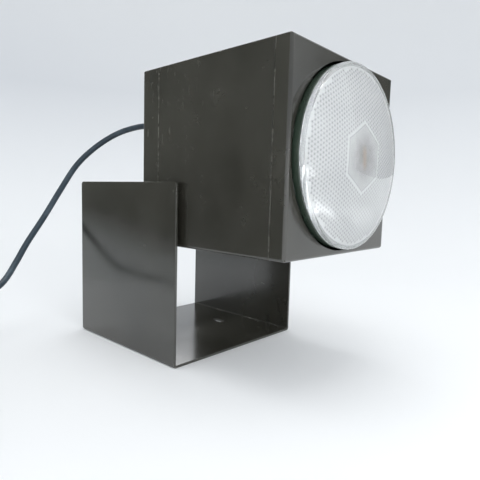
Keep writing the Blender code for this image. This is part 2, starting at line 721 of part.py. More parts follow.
def make_earth_point(brass):
    """The earth screw through the rear cap and the nut that holds the earth wire inside."""
    x, z = EARTH_SCREW
    outside = (x, depth(HOUSING_LENGTH) + GAP, z)
    slotted_screw("earth_screw", outside, (0, 1, 0), 3.4 * MM, 2 * MM, 1.8 * MM, 10 * MM, brass)
    inside = (x, depth(HOUSING_LENGTH - CAP_SHEET) - GAP, z)
    hexagon_nut("earth_nut", 7 * MM, 2.1 * MM, inside, (0, -1, 0), 3 * MM, brass)


def make_wires(live, neutral, earth):
    """The three wires from the cord's end inside the gland to the holder and the earth screw."""
    front = FRONT_Y / MM
    rear = front + HOUSING_LENGTH / MM
    y = rear - GLAND_REACH / MM
    top = AXIS_HEIGHT / MM
    holder_y = front + 126.5
    live_route = [(0, y - 0.5, 190), (0, y - 5, 189.5), (0, y - 6, 186), (0, holder_y - 1, 182),
                  (0, holder_y, top + 23.4)]
    neutral_route = [(-2.6, y - 0.5, 189), (-5, y - 7, 188), (-14, holder_y - 7, 184),
                     (-26, holder_y - 6, 172), (-30, holder_y - 5, 154), (-24, holder_y - 3, 136),
                     (-10, holder_y, 126.5), (-2, holder_y, 127), (0, holder_y, top - 23.4)]
    x, z = EARTH_SCREW[0] / MM, EARTH_SCREW[1] / MM
    earth_route = [(2.6, y - 0.5, 190), (6, y - 6, 190), (16, y - 7, 188), (26, y - 3, 184),
                   (x - 2, rear - 7, z + 6), (x, rear - 6, z + 4.6)]
    for name, route, material in (("wire_live", live_route, live),
                                  ("wire_neutral", neutral_route, neutral),
                                  ("wire_earth", earth_route, earth)):
        tube(name, smooth_line(route, 5 * MM), 1.1 * MM, material, resolution=1)


def make_gland(black):
    """The cable gland through the rear cap, its nut inside, and the tapered strain relief."""
    bore = CORD_RADIUS + GAP
    face, mouth = HOUSING_LENGTH + GAP, HOUSING_LENGTH - GLAND_REACH
    body = [
        (bore, mouth), (6 * MM, mouth), (6 * MM, face), (9 * MM, face), (9 * MM, face + 2.4 * MM),
        (8 * MM, face + 3 * MM), (bore, face + 3 * MM),
    ]
    origin = (0, FRONT_Y, CABLE_HEIGHT)
    turned("cable_gland", body, origin, (0, 1, 0), black, 20, closed=True)
    inside = (0, depth(HOUSING_LENGTH - CAP_SHEET) - GAP, CABLE_HEIGHT)
    hexagon_nut("cable_gland_nut", 16 * MM, 6.3 * MM, inside, (0, -1, 0), 4 * MM, black)
    start = face + 3 * MM + GAP
    boot = [(bore, start), (6.4 * MM, start), (6 * MM, start + 3 * MM), (4 * MM, start + BOOT_LENGTH),
            (bore, start + BOOT_LENGTH)]
    turned("cord_strain_relief", boot, origin, (0, 1, 0), black, 20, closed=True)


# ---------------------------------------------------------------- cord, coil and plug

def make_cord(rubber):
    """The lead from its strain relief to the edge of its coil."""
    line = smooth_line(CORD_ROUTE, 13 * MM)
    tube("cord", line, CORD_RADIUS, rubber, resolution=2)


def make_coil(rubber, tie_material):
    """The outer shape of the coiled lead, and the tie round one side of it."""
    soften = 2.4 * MM
    profile = []
    corners = [
        (COIL_OUTER - soften, COIL_BOTTOM + soften, 270), (COIL_OUTER - soften, COIL_TOP - soften, 0),
        (COIL_INNER + soften, COIL_TOP - soften, 90), (COIL_INNER + soften, COIL_BOTTOM + soften, 180),
    ]
    for r, z, start in corners:
        for k in range(2):
            angle = math.radians(start + 90 * k)
            profile.append((r + soften * math.cos(angle), z + soften * math.sin(angle)))
    turned("cord_coil", profile, (*COIL_CENTRE, 0), (0, 0, 1), rubber, 32, closed=True)
    rings = []
    inner = (COIL_INNER - GAP, COIL_OUTER + GAP, COIL_BOTTOM - GAP, COIL_TOP + GAP)
    thick = TIE_THICKNESS
    outer = (inner[0] - thick, inner[1] + thick, inner[2] - thick, inner[3] + thick)
    half = 3 * MM
    for (r0, r1, z0, z1), y in ((inner, -half), (outer, -half), (outer, half), (inner, half)):
        ring = [(r0, z0), (r1, z0), (r1, z1), (r0, z1)]
        rings.append([(COIL_CENTRE[0] - r, COIL_CENTRE[1] + y, z) for r, z in ring])
    finish("cord_tie", loft(rings, closed=True), tie_material)


def make_plug(black, brass, rubber):
    """A round earthed mains plug with two pins and two earth strips, lying by the coil."""
    direction = Vector((math.sin(TAIL_ANGLE), -math.cos(TAIL_ANGLE), 0))
    side = Vector((-direction.y, direction.x, 0))
    leave = Vector((*COIL_CENTRE, 0)) + TAIL_RADIUS * Vector(
        (math.cos(TAIL_ANGLE), math.sin(TAIL_ANGLE), 0)
    )

    def along(distance, height=PLUG_RADIUS):
        return leave + direction * distance + Vector((0, 0, height))

    boot_tip, body_start, face = 37 * MM, 57 * MM, 92 * MM
    body = [
        (0, 0), (3.6 * MM, 0), (5.5 * MM, body_start - boot_tip), (12 * MM, 26 * MM),
        (15.5 * MM, 33 * MM), (PLUG_RADIUS, 42 * MM), (PLUG_RADIUS, face - boot_tip), (0, face - boot_tip),
    ]
    plug = turned("plug_body", body, along(boot_tip), direction, black, 24)
    pockets = []
    for label, sign in (("upper", 1), ("lower", -1)):
        strip = box(
            f"plug_earth_{label}", (-3 * MM, PLUG_RADIUS - 2.2 * MM, -11 * MM),
            (3 * MM, PLUG_RADIUS - 1 * MM, 0), brass,
        )
        pocket = box(
            f"cut_plug_earth_{label}", (-3.4 * MM, PLUG_RADIUS - 2.6 * MM, -11.4 * MM),
            (3.4 * MM, PLUG_RADIUS + 3 * MM, 3 * MM),
        )
        turn = Matrix.Rotation(math.radians(90 - 90 * sign), 4, "Z")
        place = Matrix((
            (side.x, 0, direction.x, along(face).x),
            (side.y, 0, direction.y, along(face).y),
            (0, 1, 0, along(face).z),
            (0, 0, 0, 1),
        ))
        strip.data.transform(place @ turn)
        pocket.data.transform(place @ turn)
        pockets.append(pocket)
    cut(plug, *pockets)
    for label, sign in (("left", -1), ("right", 1)):
        start = along(face + GAP) + side * (sign * PLUG_PIN_SPACING / 2)
        profile = [(PLUG_PIN_RADIUS, 0), (PLUG_PIN_RADIUS, 17.5 * MM), (1.4 * MM, 19 * MM)]
        turned(f"plug_pin_{label}", profile, start, direction, brass, 16)
    rise = [(27.5 * MM, 15.9 * MM), (30 * MM, 17.1 * MM), (33 * MM, PLUG_RADIUS),
            (boot_tip - GAP, PLUG_RADIUS)]
    tube("cord_tail", [along(distance, height) for distance, height in rise], CORD_RADIUS, rubber)


# ---------------------------------------------------------------- build

def build():
    clear_scene()
    paint = make_material("brown_black_lacquer", (0.035, 0.031, 0.026), 0.0, 0.22)
    steel = make_material("zinc_plated_steel", (0.55, 0.55, 0.54), 1.0, 0.35)
    brass = make_material("brass", (0.72, 0.56, 0.30), 1.0, 0.30)
    fibre = make_material("black_fibre", (0.03, 0.03, 0.03), 0.0, 0.75)
    glass = make_material("clear_glass", (0.92, 0.95, 0.94), 0.0, 0.05, 0.9)
    mirror = make_material("mirrored_glass", (0.80, 0.81, 0.82), 1.0, 0.08)
    tungsten = make_material("tungsten", (0.35, 0.25, 0.18), 1.0, 0.5)
    ceramic = make_material("white_ceramic", (0.82, 0.80, 0.75), 0.0, 0.35)
    black = make_material("black_plastic", (0.02, 0.02, 0.022), 0.0, 0.4)
    rubber = make_material("cord_rubber", (0.035, 0.045, 0.055), 0.0, 0.45)
    live = make_material("brown_insulation", (0.20, 0.09, 0.04), 0.0, 0.5)
    neutral = make_material("blue_insulation", (0.05, 0.14, 0.45), 0.0, 0.5)
    earth = make_material("green_insulation", (0.12, 0.40, 0.08), 0.0, 0.5)
    tie = make_material("tie_plastic", (0.05, 0.05, 0.05), 0.0, 0.5)

    make_yoke(paint)
    for side, sign in (("left", -1), ("right", 1)):
        make_pivot(side, sign, steel, fibre)
    make_body(paint)
    make_front_cap(paint)
    make_rear_cap(paint)
    make_cap_screws(steel)
    make_lens(glass)
    make_reflector(mirror)
    make_lamp_base(brass, black)
    make_filament(tungsten)
    make_holder(ceramic, brass)
    make_holder_bracket(steel)
    make_earth_point(brass)
    make_wires(live, neutral, earth)
    make_gland(black)
    make_cord(rubber)
    make_coil(rubber, tie)
    make_plug(black, brass, rubber)


build()
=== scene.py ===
"""The looks of the reflector lamp spotlight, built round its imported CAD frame.

Metres, +Z up. The lamp shines along -Y and the bracket's arms stand at -X and +X. The sizes of
small parts are in millimetres, and a matrix named into turns them to world metres. Distances
behind the housing's front face are called depths.
"""

import json
import math
import random

import bmesh
import bpy
from mathutils import Matrix, Vector, geometry


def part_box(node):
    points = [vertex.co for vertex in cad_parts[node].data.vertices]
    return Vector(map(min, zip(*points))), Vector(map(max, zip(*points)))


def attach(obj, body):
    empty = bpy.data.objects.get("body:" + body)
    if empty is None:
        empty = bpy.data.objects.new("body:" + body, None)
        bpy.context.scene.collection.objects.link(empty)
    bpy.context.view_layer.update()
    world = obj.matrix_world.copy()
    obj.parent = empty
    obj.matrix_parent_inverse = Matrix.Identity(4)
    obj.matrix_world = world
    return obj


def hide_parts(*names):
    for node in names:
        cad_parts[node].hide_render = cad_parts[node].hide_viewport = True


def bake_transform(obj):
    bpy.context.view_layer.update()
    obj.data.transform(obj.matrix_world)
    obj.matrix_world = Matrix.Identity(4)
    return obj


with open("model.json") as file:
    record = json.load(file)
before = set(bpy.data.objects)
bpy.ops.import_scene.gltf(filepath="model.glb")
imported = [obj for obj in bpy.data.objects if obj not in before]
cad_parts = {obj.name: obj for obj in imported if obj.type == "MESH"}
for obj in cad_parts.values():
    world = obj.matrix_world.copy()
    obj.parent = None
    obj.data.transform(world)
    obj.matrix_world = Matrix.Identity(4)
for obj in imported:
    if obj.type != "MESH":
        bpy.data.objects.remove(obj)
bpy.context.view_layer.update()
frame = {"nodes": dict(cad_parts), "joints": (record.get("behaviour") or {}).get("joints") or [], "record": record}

MM = 0.001
TURN = 2 * math.pi
random.seed(7)

# ---- places taken from the frame

YOKE_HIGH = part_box("yoke_bracket")[1]
BODY_LOW, BODY_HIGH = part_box("housing_body")
FRONT_LOW, FRONT_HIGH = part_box("front_cap")
REAR_LOW, REAR_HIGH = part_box("rear_cap")
COIL_LOW, COIL_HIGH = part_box("cord_coil")
PIVOT = Vector(frame["joints"][0]["pos_m"])
FACE_Y = FRONT_LOW.y
BACK_Y = REAR_HIGH.y
AXIS_Z = (FRONT_LOW.z + FRONT_HIGH.z) / 2

# From millimetres across, above and behind the middle of the housing's face to world
LAMP = Matrix(((MM, 0, 0, 0), (0, 0, MM, FACE_Y), (0, MM, 0, AXIS_Z), (0, 0, 0, 1)))
ALONG_LAMP = ((0, FACE_Y, AXIS_Z), (0, 1, 0))


def middle(node):
    """The centre of a CAD node's box."""
    low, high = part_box(node)
    return (low + high) / 2


def span(node, axis):
    """The size of a CAD node's box along one axis, in millimetres."""
    low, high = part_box(node)
    return (high[axis] - low[axis]) / MM


# ---- camera

def make_camera():
    """The camera stands left of the lamp's face, a little above the bracket's arms."""
    yaw, pitch, roll = math.radians(47.84), math.radians(-5.86), math.radians(1.64)
    level = Vector((math.cos(yaw), -math.sin(yaw), 0))
    forward = Vector((math.sin(yaw) * math.cos(pitch), math.cos(yaw) * math.cos(pitch), math.sin(pitch)))
    upright = level.cross(forward)
    right = math.cos(roll) * level + math.sin(roll) * upright
    up = math.cos(roll) * upright - math.sin(roll) * level
    data = bpy.data.cameras.new("camera")
    data.lens = 33.28
    data.sensor_width = 36
    data.clip_start = 0.01
    camera = bpy.data.objects.new("camera", data)
    turn = Matrix((right, up, -forward)).transposed().to_4x4()
    camera.matrix_world = Matrix.Translation((-0.2737, -0.3123, 0.1294)) @ turn
    bpy.context.collection.objects.link(camera)
    bpy.context.scene.camera = camera
    bpy.context.scene.view_settings.view_transform = "Standard"


# ---- material tools

class Shader:
    """A short way to write a node material in object coordinates."""

    def __init__(self, name, **values):
        """The values go on the shader's own sockets as plain numbers."""
        self.material = bpy.data.materials.new(name)
        self.material.use_nodes = True
        self.tree = self.material.node_tree
        self.inputs = self.tree.nodes["Principled BSDF"].inputs
        self.spot = self.node("TexCoord").outputs["Object"]
        for key, value in values.items():
            self.inputs[key.replace("_", " ")].default_value = value

    def feed(self, socket, value):
        """Link a socket to another one, or set it to a plain value."""
        if isinstance(value, bpy.types.NodeSocket):
            self.tree.links.new(value, socket)
        else:
            socket.default_value = value

    def node(self, kind, inputs=(), **values):
        made = self.tree.nodes.new("ShaderNode" + kind)
        for key, value in values.items():
            setattr(made, key, value)
        for key, value in dict(inputs).items():
            self.feed(made.inputs[key], value)
        return made

    def noise(self, scale, detail, roughness, grain=None):
        """Noise, drawn out along the axes where grain is small."""
        spot = self.spot
        if grain:
            spot = self.node("Mapping", {"Vector": spot, "Scale": grain}).outputs["Vector"]
        inputs = {"Scale": scale, "Detail": detail, "Roughness": roughness, "Vector": spot}
        return self.node("TexNoise", inputs).outputs["Fac"]

    def spread(self, value, low, high, to_low=0.0, to_high=1.0):
        """Map a value from one range to another, held at both ends."""
        inputs = {"Value": value, "From Min": low, "From Max": high, "To Min": to_low, "To Max": to_high}
        return self.node("MapRange", inputs).outputs["Result"]

    def cloud(self, scale, detail, roughness, low, high, to_low=0.0, to_high=1.0, grain=None):
        """Noise mapped from one range to another."""
        return self.spread(self.noise(scale, detail, roughness, grain), low, high, to_low, to_high)

    def specks(self, scale, low, high):
        """Small round specks, 1 in the middle and 0 round them."""
        cells = self.node("TexVoronoi", {"Scale": scale, "Vector": self.spot})
        return self.spread(cells.outputs["Distance"], low, high, 1.0, 0.0)

    def math(self, operation, first, second=0.0):
        return self.node("Math", {0: first, 1: second}, operation=operation).outputs[0]

    def times(self, product, *factors):
        for factor in factors:
            product = self.math("MULTIPLY", product, factor)
        return product

    def colour(self, share, first, second):
        """A colour that goes from first to second as share goes from 0 to 1."""
        first, second = ((*c, 1) if isinstance(c, tuple) else c for c in (first, second))
        return self.node("Mix", {0: share, 6: first, 7: second}, data_type="RGBA").outputs[2]

    def axis(self, letter):
        """One object coordinate."""
        return self.node("SeparateXYZ", {0: self.spot}).outputs[letter]

    def painted(self, name):
        """A number stored on the mesh."""
        return self.node("Attribute", attribute_name=name).outputs["Fac"]

    def done(self, base, rough=None, *bumps, metallic=None):
        """The joined-up material. A bump is (height, strength, millimetres) and lies on the last."""
        normal = None
        for height, strength, distance in bumps:
            inputs = {"Height": height, "Strength": strength, "Distance": distance * MM}
            if normal:
                inputs["Normal"] = normal
            normal = self.node("Bump", inputs).outputs["Normal"]
        for key, value in (("Base Color", base), ("Roughness", rough), ("Metallic", metallic),
                           ("Normal", normal)):
            if value is not None:
                self.feed(self.inputs[key], value)
        return self.material


# ---- materials

def lacquer(name, worn_edge=None):
    """Glossy brown-black stoving lacquer on sheet steel. The worn edge is a plane across Y where
    a cap's flange ends, and the paint along it is rubbed through to pale metal in dashes."""
    m = Shader(name, IOR=1.8, Specular_IOR_Level=0.5)
    paint = m.colour(m.cloud(11, 3, 0.55, 0.35, 0.65), (0.016, 0.0155, 0.0115), (0.033, 0.0315, 0.0245))
    # Lighter upright streaks and blotches: partly uneven paint, partly painted sheen of the gloss.
    paint = m.colour(m.cloud(9, 3, 0.6, 0.42, 0.68, 0, 0.45, (1, 2.2, 0.5)), paint, (0.052, 0.050, 0.040))
    paint = m.colour(m.cloud(38, 5, 0.62, 0.45, 0.75, 0, 0.30), paint, (0.060, 0.058, 0.050))
    dust = m.times(m.specks(260, 0.08, 0.16), m.cloud(75, 2, 0.5, 0.60, 0.64),
                   m.cloud(14, 2, 0.5, 0.42, 0.62))
    paint = m.colour(m.times(dust, 0.35), paint, (0.22, 0.21, 0.18))
    rear_top = m.times(m.spread(m.axis("Y"), -0.095, -0.035), m.spread(m.axis("Z"), 0.14, 0.21))
    edge = m.times(m.painted("wear"), m.cloud(210, 4, 0.7, 0.57, 0.68, 0, 0.55))
    marks = [m.cloud(30, 3, 0.6, 0.705, 0.74, 0, 0.22, (1, 14, 90)),
             m.times(m.cloud(340, 3, 0.6, 0.64, 0.72, 0, 0.4, (1, 1, 0.4)), rear_top)]
    if worn_edge is not None:
        away = m.math("ABSOLUTE", m.math("SUBTRACT", m.axis("Y"), worn_edge))
        marks.append(m.times(m.spread(away, 0.20 * MM, 0.50 * MM, 1.0, 0.0),
                             m.cloud(120, 5, 0.75, 0.42, 0.60, 0.1, 0.9)))
    for mark in marks:
        edge = m.math("MAXIMUM", edge, mark)
    gloss = m.math("ADD", m.cloud(22, 4, 0.6, 0.3, 0.7, 0.13, 0.21), m.times(dust, 0.35))
    return m.done(
        m.colour(edge, paint, (0.36, 0.35, 0.31)), m.math("ADD", gloss, m.times(edge, 0.25)),
        (m.noise(26, 1, 0.4), 0.10, 0.8), (m.noise(620, 2, 0.5), 0.035, 0.10), (edge, 0.2, 0.05),
        metallic=m.times(edge, 0.6),
    )


def metal(name, light, dark, roughness):
    """Plated or bare metal with a soft grain, a little tarnish and fine scratches."""
    m = Shader(name, Metallic=1.0)
    lines = m.noise(420, 3, 0.6)
    return m.done(m.colour(m.cloud(90, 4, 0.6, 0.35, 0.72, 0, 0.5), light, dark),
                  m.spread(lines, 0.3, 0.7, roughness - 0.08, roughness + 0.10), (lines, 0.12, 0.05))


def plain(name, pale_patches, first, second, gloss, grain, **values):
    """A finish with patches of a second colour, uneven gloss and a fine grain. Patches and gloss
    are given as clouds, and the grain as noise with a bump's strength and millimetres."""
    m = Shader(name, **values)
    return m.done(m.colour(m.cloud(*pale_patches), first, second), m.cloud(*gloss),
                  (m.noise(*grain[:3]), *grain[3:]))


def moulded(name, colour, pale, roughness, scale=900, strength=0.12):
    """Moulded plastic or rubber: a fine grained skin with scuffs."""
    gloss = (150, 3, 0.6, 0.3, 0.7, roughness - 0.07, roughness + 0.09)
    return plain(name, (60, 5, 0.65, 0.50, 0.74), colour, pale, gloss, (scale, 2, 0.5, strength, 0.06))


def clear_glass(name):
    """The smooth outside of the pressed glass."""
    return plain(name, (60, 2, 0.5, 0, 1), (0.970, 0.990, 0.990), (0.990, 1.0, 1.0),
                 (140, 3, 0.6, 0.35, 0.7, 0.004, 0.02), (90, 2, 0.5, 0.03, 0.2),
                 Transmission_Weight=0.80, IOR=1.27)


def prism_glass(name):
    """The inside of the pressed glass: a milky honeycomb whose bulges each hold a painted reflection,
    a small grey-pink dot standing for the lamp's dark middle, and on the plain hexagon before the
    filament a painted shade of the lamp's dark neck with a brown painted reflection of the filament."""
    m = Shader(name, Transmission_Weight=0.50, IOR=1.27)
    glass = m.colour(m.noise(60, 2, 0.5), (0.975, 0.992, 0.995), (0.995, 1.0, 1.0))
    # painted reflection: a grey-pink dot in the middle of each bulge
    dot = m.times(m.spread(m.painted("cell"), 0.36, 0.90), m.cloud(35, 3, 0.6, 0.3, 0.7, 0.70, 1.0))
    glass = m.colour(dot, glass, (0.13, 0.11, 0.12))
    inside, across, up = m.painted("middle"), m.axis("X"), m.math("SUBTRACT", m.axis("Z"), AXIS_Z)
    far = m.math("SQRT", m.math("ADD", m.math("POWER", up, 2), m.math("POWER", across, 2)))
    # painted shade: the dark view into the lamp's neck, darkest in the middle of the hexagon
    painted_centre_shade = m.times(inside, m.spread(far, 2 * MM, 18 * MM, 1.0, 0.42),
                    m.cloud(130, 3, 0.6, 0.3, 0.7, 0.70, 1.0))
    glass = m.colour(painted_centre_shade, glass, (0.13, 0.11, 0.10))
    # painted reflection: an upright brown streak where the filament's image shows
    lean = m.math("ADD", across, m.times(up, 0.12))
    painted_filament_reflection = m.times(m.spread(m.math("ABSOLUTE", lean), 0, 4 * MM, 1, 0),
                     m.spread(m.math("ABSOLUTE", up), 4 * MM, 9 * MM, 1, 0), inside, 0.9)
    glass = m.colour(painted_filament_reflection, glass, (0.42, 0.24, 0.14))
    return m.done(glass, m.cloud(200, 3, 0.6, 0.3, 0.7, 0.10, 0.16), (m.noise(420, 2, 0.5), 0.06, 0.1))


def mirror(name):
    """Aluminised glass: a mirror with the slight ripple of the pressing under it."""
    return plain(name, (50, 3, 0.6, 0, 1), (0.99, 0.995, 0.995), (0.96, 0.97, 0.975),
                 (120, 3, 0.6, 0.3, 0.7, 0.04, 0.11), (150, 2, 0.5, 0.10, 0.25), Metallic=1.0)


def rim_glass(name):
    """The thick rim of the bowl seen from the side: bottle-green glass whose dark colour is painted shadow from
    behind it, in streaky bands.
    """
    m = Shader(name, IOR=1.55, Coat_Weight=0.6, Coat_Roughness=0.03)
    bands = m.noise(240, 3, 0.6, (1, 6, 1))
    return m.done(m.colour(bands, (0.014, 0.023, 0.016), (0.050, 0.075, 0.055)),
                  m.spread(bands, 0.3, 0.7, 0.06, 0.16), (bands, 0.10, 0.10))


def silvered_glass(name):
    """The outside of the bowl: the grey back of the aluminium seen through glass."""
    return plain(name, (45, 5, 0.65, 0.35, 0.7), (0.36, 0.38, 0.39), (0.22, 0.235, 0.24),
                 (90, 3, 0.6, 0.3, 0.7, 0.18, 0.32), (110, 3, 0.5, 0.12, 0.2),
                 Metallic=0.55, Coat_Weight=1.0, Coat_Roughness=0.04)


def porcelain(name):
    """White glazed porcelain with small dark pits."""
    m = Shader(name, Coat_Weight=0.5, Coat_Roughness=0.08)
    body = m.colour(m.noise(30, 4, 0.6), (0.82, 0.80, 0.74), (0.70, 0.68, 0.62))
    pits = m.times(m.specks(330, 0.05, 0.09), m.cloud(90, 2, 0.5, 0.60, 0.64))
    return m.done(m.colour(pits, body, (0.25, 0.20, 0.15)), m.cloud(60, 3, 0.6, 0.3, 0.7, 0.22, 0.38),
                  (m.noise(140, 3, 0.5), 0.10, 0.15))


def striped_insulation(name):
    """Green wire insulation with a yellow stripe along it."""
    m = Shader(name)
    stripe = m.spread(m.node("TexWave", {"Scale": 210, "Vector": m.spot}).outputs["Fac"], 0.45, 0.55)
    return m.done(m.colour(stripe, (0.08, 0.30, 0.06), (0.72, 0.62, 0.05)),
                  m.cloud(150, 3, 0.6, 0.3, 0.7, 0.38, 0.52), (m.noise(900, 2, 0.5), 0.1, 0.05))


def make_materials():
    """One material for each slot of the record, and a few more that the fine pieces need."""
    return {
        "housing_lacquer": lacquer("brown_black_lacquer"),
        "front_lacquer": lacquer("lacquer_front_cap", FRONT_HIGH.y),
        "rear_lacquer": lacquer("lacquer_rear_cap", REAR_LOW.y),
        "plated_steel": metal("zinc_plated_steel", (0.60, 0.60, 0.58), (0.36, 0.35, 0.32), 0.34),
        "fibre": moulded("black_fibre", (0.022, 0.021, 0.020), (0.06, 0.055, 0.05), 0.7, 500, 0.35),
        "lens_glass": clear_glass("pressed_glass"),
        "prism_glass": prism_glass("prismatic_inside"),
        "mirrored_glass": mirror("aluminised_mirror"),
        "rim_glass": rim_glass("bottle_green_rim"),
        "silvered_glass": silvered_glass("silvered_back"),
        "brass": metal("brass", (0.74, 0.57, 0.30), (0.42, 0.28, 0.13), 0.30),
        "black_glass": moulded("black_vitrite", (0.010, 0.010, 0.012), (0.03, 0.03, 0.035), 0.14, 300, 0.05),
        "tungsten": metal("tungsten", (0.36, 0.21, 0.13), (0.20, 0.10, 0.06), 0.45),
        "ceramic": porcelain("white_porcelain"),
        "wire_brown": moulded("brown_insulation", (0.20, 0.08, 0.035), (0.30, 0.14, 0.07), 0.45),
        "wire_blue": moulded("blue_insulation", (0.04, 0.12, 0.42), (0.10, 0.20, 0.50), 0.45),
        "wire_green": striped_insulation("green_yellow_insulation"),
        "black_nylon": moulded("black_nylon", (0.016, 0.016, 0.018), (0.045, 0.045, 0.048), 0.42),
        "cord_rubber": moulded("slate_cord_sheath", (0.034, 0.052, 0.068), (0.070, 0.098, 0.120),
                               0.38, 700, 0.10),
        "plug_plastic": moulded("black_plug", (0.017, 0.017, 0.019), (0.05, 0.05, 0.052), 0.40),
        "tie_plastic": moulded("tie_band", (0.035, 0.035, 0.038), (0.09, 0.09, 0.095), 0.65, 1400, 0.5),
    }


FINISH = make_materials()

# ---- mesh tools

def arc(first, last, steps):
    """Cosines and sines at even steps of an angle in degrees, both ends included."""
    angles = [math.radians(first + (last - first) * k / steps) for k in range(steps + 1)]
    return [(math.cos(angle), math.sin(angle)) for angle in angles]


def axis_frame(origin, direction=(0, 1, 0)):
    """A matrix from millimetres to world, whose Z runs along direction from origin."""
    turn = Vector(direction).to_track_quat("Z", "Y").to_matrix().to_4x4()
    return Matrix.Translation(origin) @ turn @ Matrix.Scale(MM, 4)


def around(into, radius, along, segments):
    """Points round an axis. The radius is a number or a function of the angle."""
    ring = []
    for k in range(segments):
        angle = TURN * k / segments
        r = radius(angle) if callable(radius) else radius
        ring.append(into @ Vector((r * math.cos(angle), r * math.sin(angle), along)))
    return ring


def skin(mesh_data, rows, closed=False, bands=None):
    """Faces between rows of vertices, each as long as the others or one vertex long. A band is
    the material number of the faces from one row to the next."""
    count = max(len(row) for row in rows)
    for number, (first, second) in enumerate(zip(rows, rows[1:] + rows[:1] * closed)):
        for k in range(count):
            n = (k + 1) % count
            spots = [first[k % len(first)], first[n % len(first)],
                     second[n % len(second)], second[k % len(second)]]
            face = mesh_data.faces.new(list(dict.fromkeys(spots)))
            face.material_index = bands[number] if bands else 0


def loft(rings, closed=False, bands=None, capped=True):
    """A bmesh through rings of points; closed joins the last ring to the first."""
    mesh_data = bmesh.new()
    rows = [[mesh_data.verts.new(point) for point in ring] for ring in rings]
    skin(mesh_data, rows, closed, bands)
    if capped and not closed:
        for row in (rows[0], rows[-1]):
            if len(row) > 1:
                mesh_data.faces.new(row)
    return mesh_data


def new_object(name, mesh_data, smooth=None):
    """An object from a bmesh, its faces pointing out."""
    bmesh.ops.recalc_face_normals(mesh_data, faces=mesh_data.faces)
    mesh = bpy.data.meshes.new(name)
    mesh_data.to_mesh(mesh)
    mesh_data.free()
    item = bpy.data.objects.new(name, mesh)
    bpy.context.collection.objects.link(item)
    if smooth:
        mesh.shade_smooth()
        mesh.set_sharp_from_angle(angle=math.radians(smooth))
    return item


def bake_modifiers(item):
    """Apply an object's modifiers to its mesh."""
    graph = bpy.context.evaluated_depsgraph_get()
    mesh = bpy.data.meshes.new_from_object(item.evaluated_get(graph))
    item.modifiers.clear()
    item.data = mesh


def soften(item, width, segments=2):
    """Round an object's sharp edges and keep its large faces flat in the shading."""
    bevel = item.modifiers.new("soften", "BEVEL")
    bevel.width = width * MM
    bevel.segments = segments
    bevel.limit_method = "ANGLE"
    bevel.angle_limit = math.radians(40)
    bevel.use_clamp_overlap = True
    item.data.shade_smooth()
    item.data.set_sharp_from_angle(angle=math.radians(45))
    even = item.modifiers.new("even", "WEIGHTED_NORMAL")
    even.keep_sharp = True
    even.weight = 80
    bake_modifiers(item)


def mark_wear(item):
    """Store where the paint wears: on the narrow faces that round the sheet's cut edges."""
    mesh = item.data
    worn = []
    for face in mesh.polygons:
        shortest = min((mesh.vertices[a].co - mesh.vertices[b].co).length for a, b in face.edge_keys)
        square = max(abs(c) for c in face.normal) > 0.985
        worn.append(0.0 if square or shortest > 0.3 * MM else 1.0)
    mesh.attributes.new("wear", "FLOAT", "FACE").data.foreach_set("value", worn)


def carve(target, *cutters, operation="DIFFERENCE"):
    """Take cutters out of target at once, or weld them to it, and delete them."""
    for cutter in cutters:
        modifier = target.modifiers.new("cut", "BOOLEAN")
        modifier.operation = operation
        modifier.object = cutter
    bake_modifiers(target)
    for cutter in cutters:
        bpy.data.objects.remove(cutter, do_unlink=True)


def turned(name, profile, origin, direction, segments=64, closed=False, bands=None, smooth=35):
    """A turned body from (radius, distance along the axis) points in millimetres."""
    into = axis_frame(origin, direction)
    rings = [around(into, radius, along, segments if radius else 1) for radius, along in profile]
    return new_object(name, loft(rings, closed, bands), smooth)


def rod(radius, start, end, segments=48):
    """A plain round cutter between two points."""
    way = Vector(end) - Vector(start)
    return turned("cutter", [(radius, 0), (radius, way.length / MM)], start, way, segments, smooth=None)


def prism(outline, low, high, axis=2):
    """A bmesh of a flat outline drawn out along Z, or along Y for an outline in X and Z."""
    def spot(a, b, along):
        return (a, along, b) if axis == 1 else (a, b, along)

    return loft([[spot(a, b, along) for a, b in outline] for along in (low, high)])


def block(low, high):
    """A plain box cutter between two corners."""
    (x0, y0, z0), (x1, y1, z1) = low, high
    return new_object("cutter", prism([(x0, y0), (x1, y0), (x1, y1), (x0, y1)], z0, z1))


def stadium(length, width, x, y, steps):
    """A slot's outline in metres: a long hole with round ends, long along its second axis."""
    r, reach = width / 2, (length - width) / 2
    return [(x + r * MM * c, y + (end * reach + r * s) * MM)
            for end, start in ((1, 0), (-1, 180)) for c, s in arc(start, start + 180, steps)]


def rounded_rectangle(half_width, half_height, top, bottom, steps):
    """Points round a rectangle, its two top corners and its two bottom corners rounded."""
    points = []
    for side_x, side_z, start in ((1, 1, 0), (-1, 1, 90), (-1, -1, 180), (1, -1, 270)):
        radius = top if side_z > 0 else bottom
        points += [(side_x * (half_width - radius) + radius * c, side_z * (half_height - radius) + radius * s)
                   for c, s in arc(start, start + 90, steps)]
    return points


def tube(name, line, radius, sides, smooth=60):
    """A round tube along a line of points, its rings carried without twist."""
    side = (line[1] - line[0]).orthogonal().normalized()
    rings = []
    for i, spot in enumerate(line):
        ahead = (line[min(i + 1, len(line) - 1)] - line[max(i - 1, 0)]).normalized()
        side = (side - ahead * side.dot(ahead)).normalized()
        other = ahead.cross(side)
        rings.append([spot + radius * MM * (c * side + s * other) for c, s in arc(0, 360, sides)[:-1]])
    return new_object(name, loft(rings), smooth)


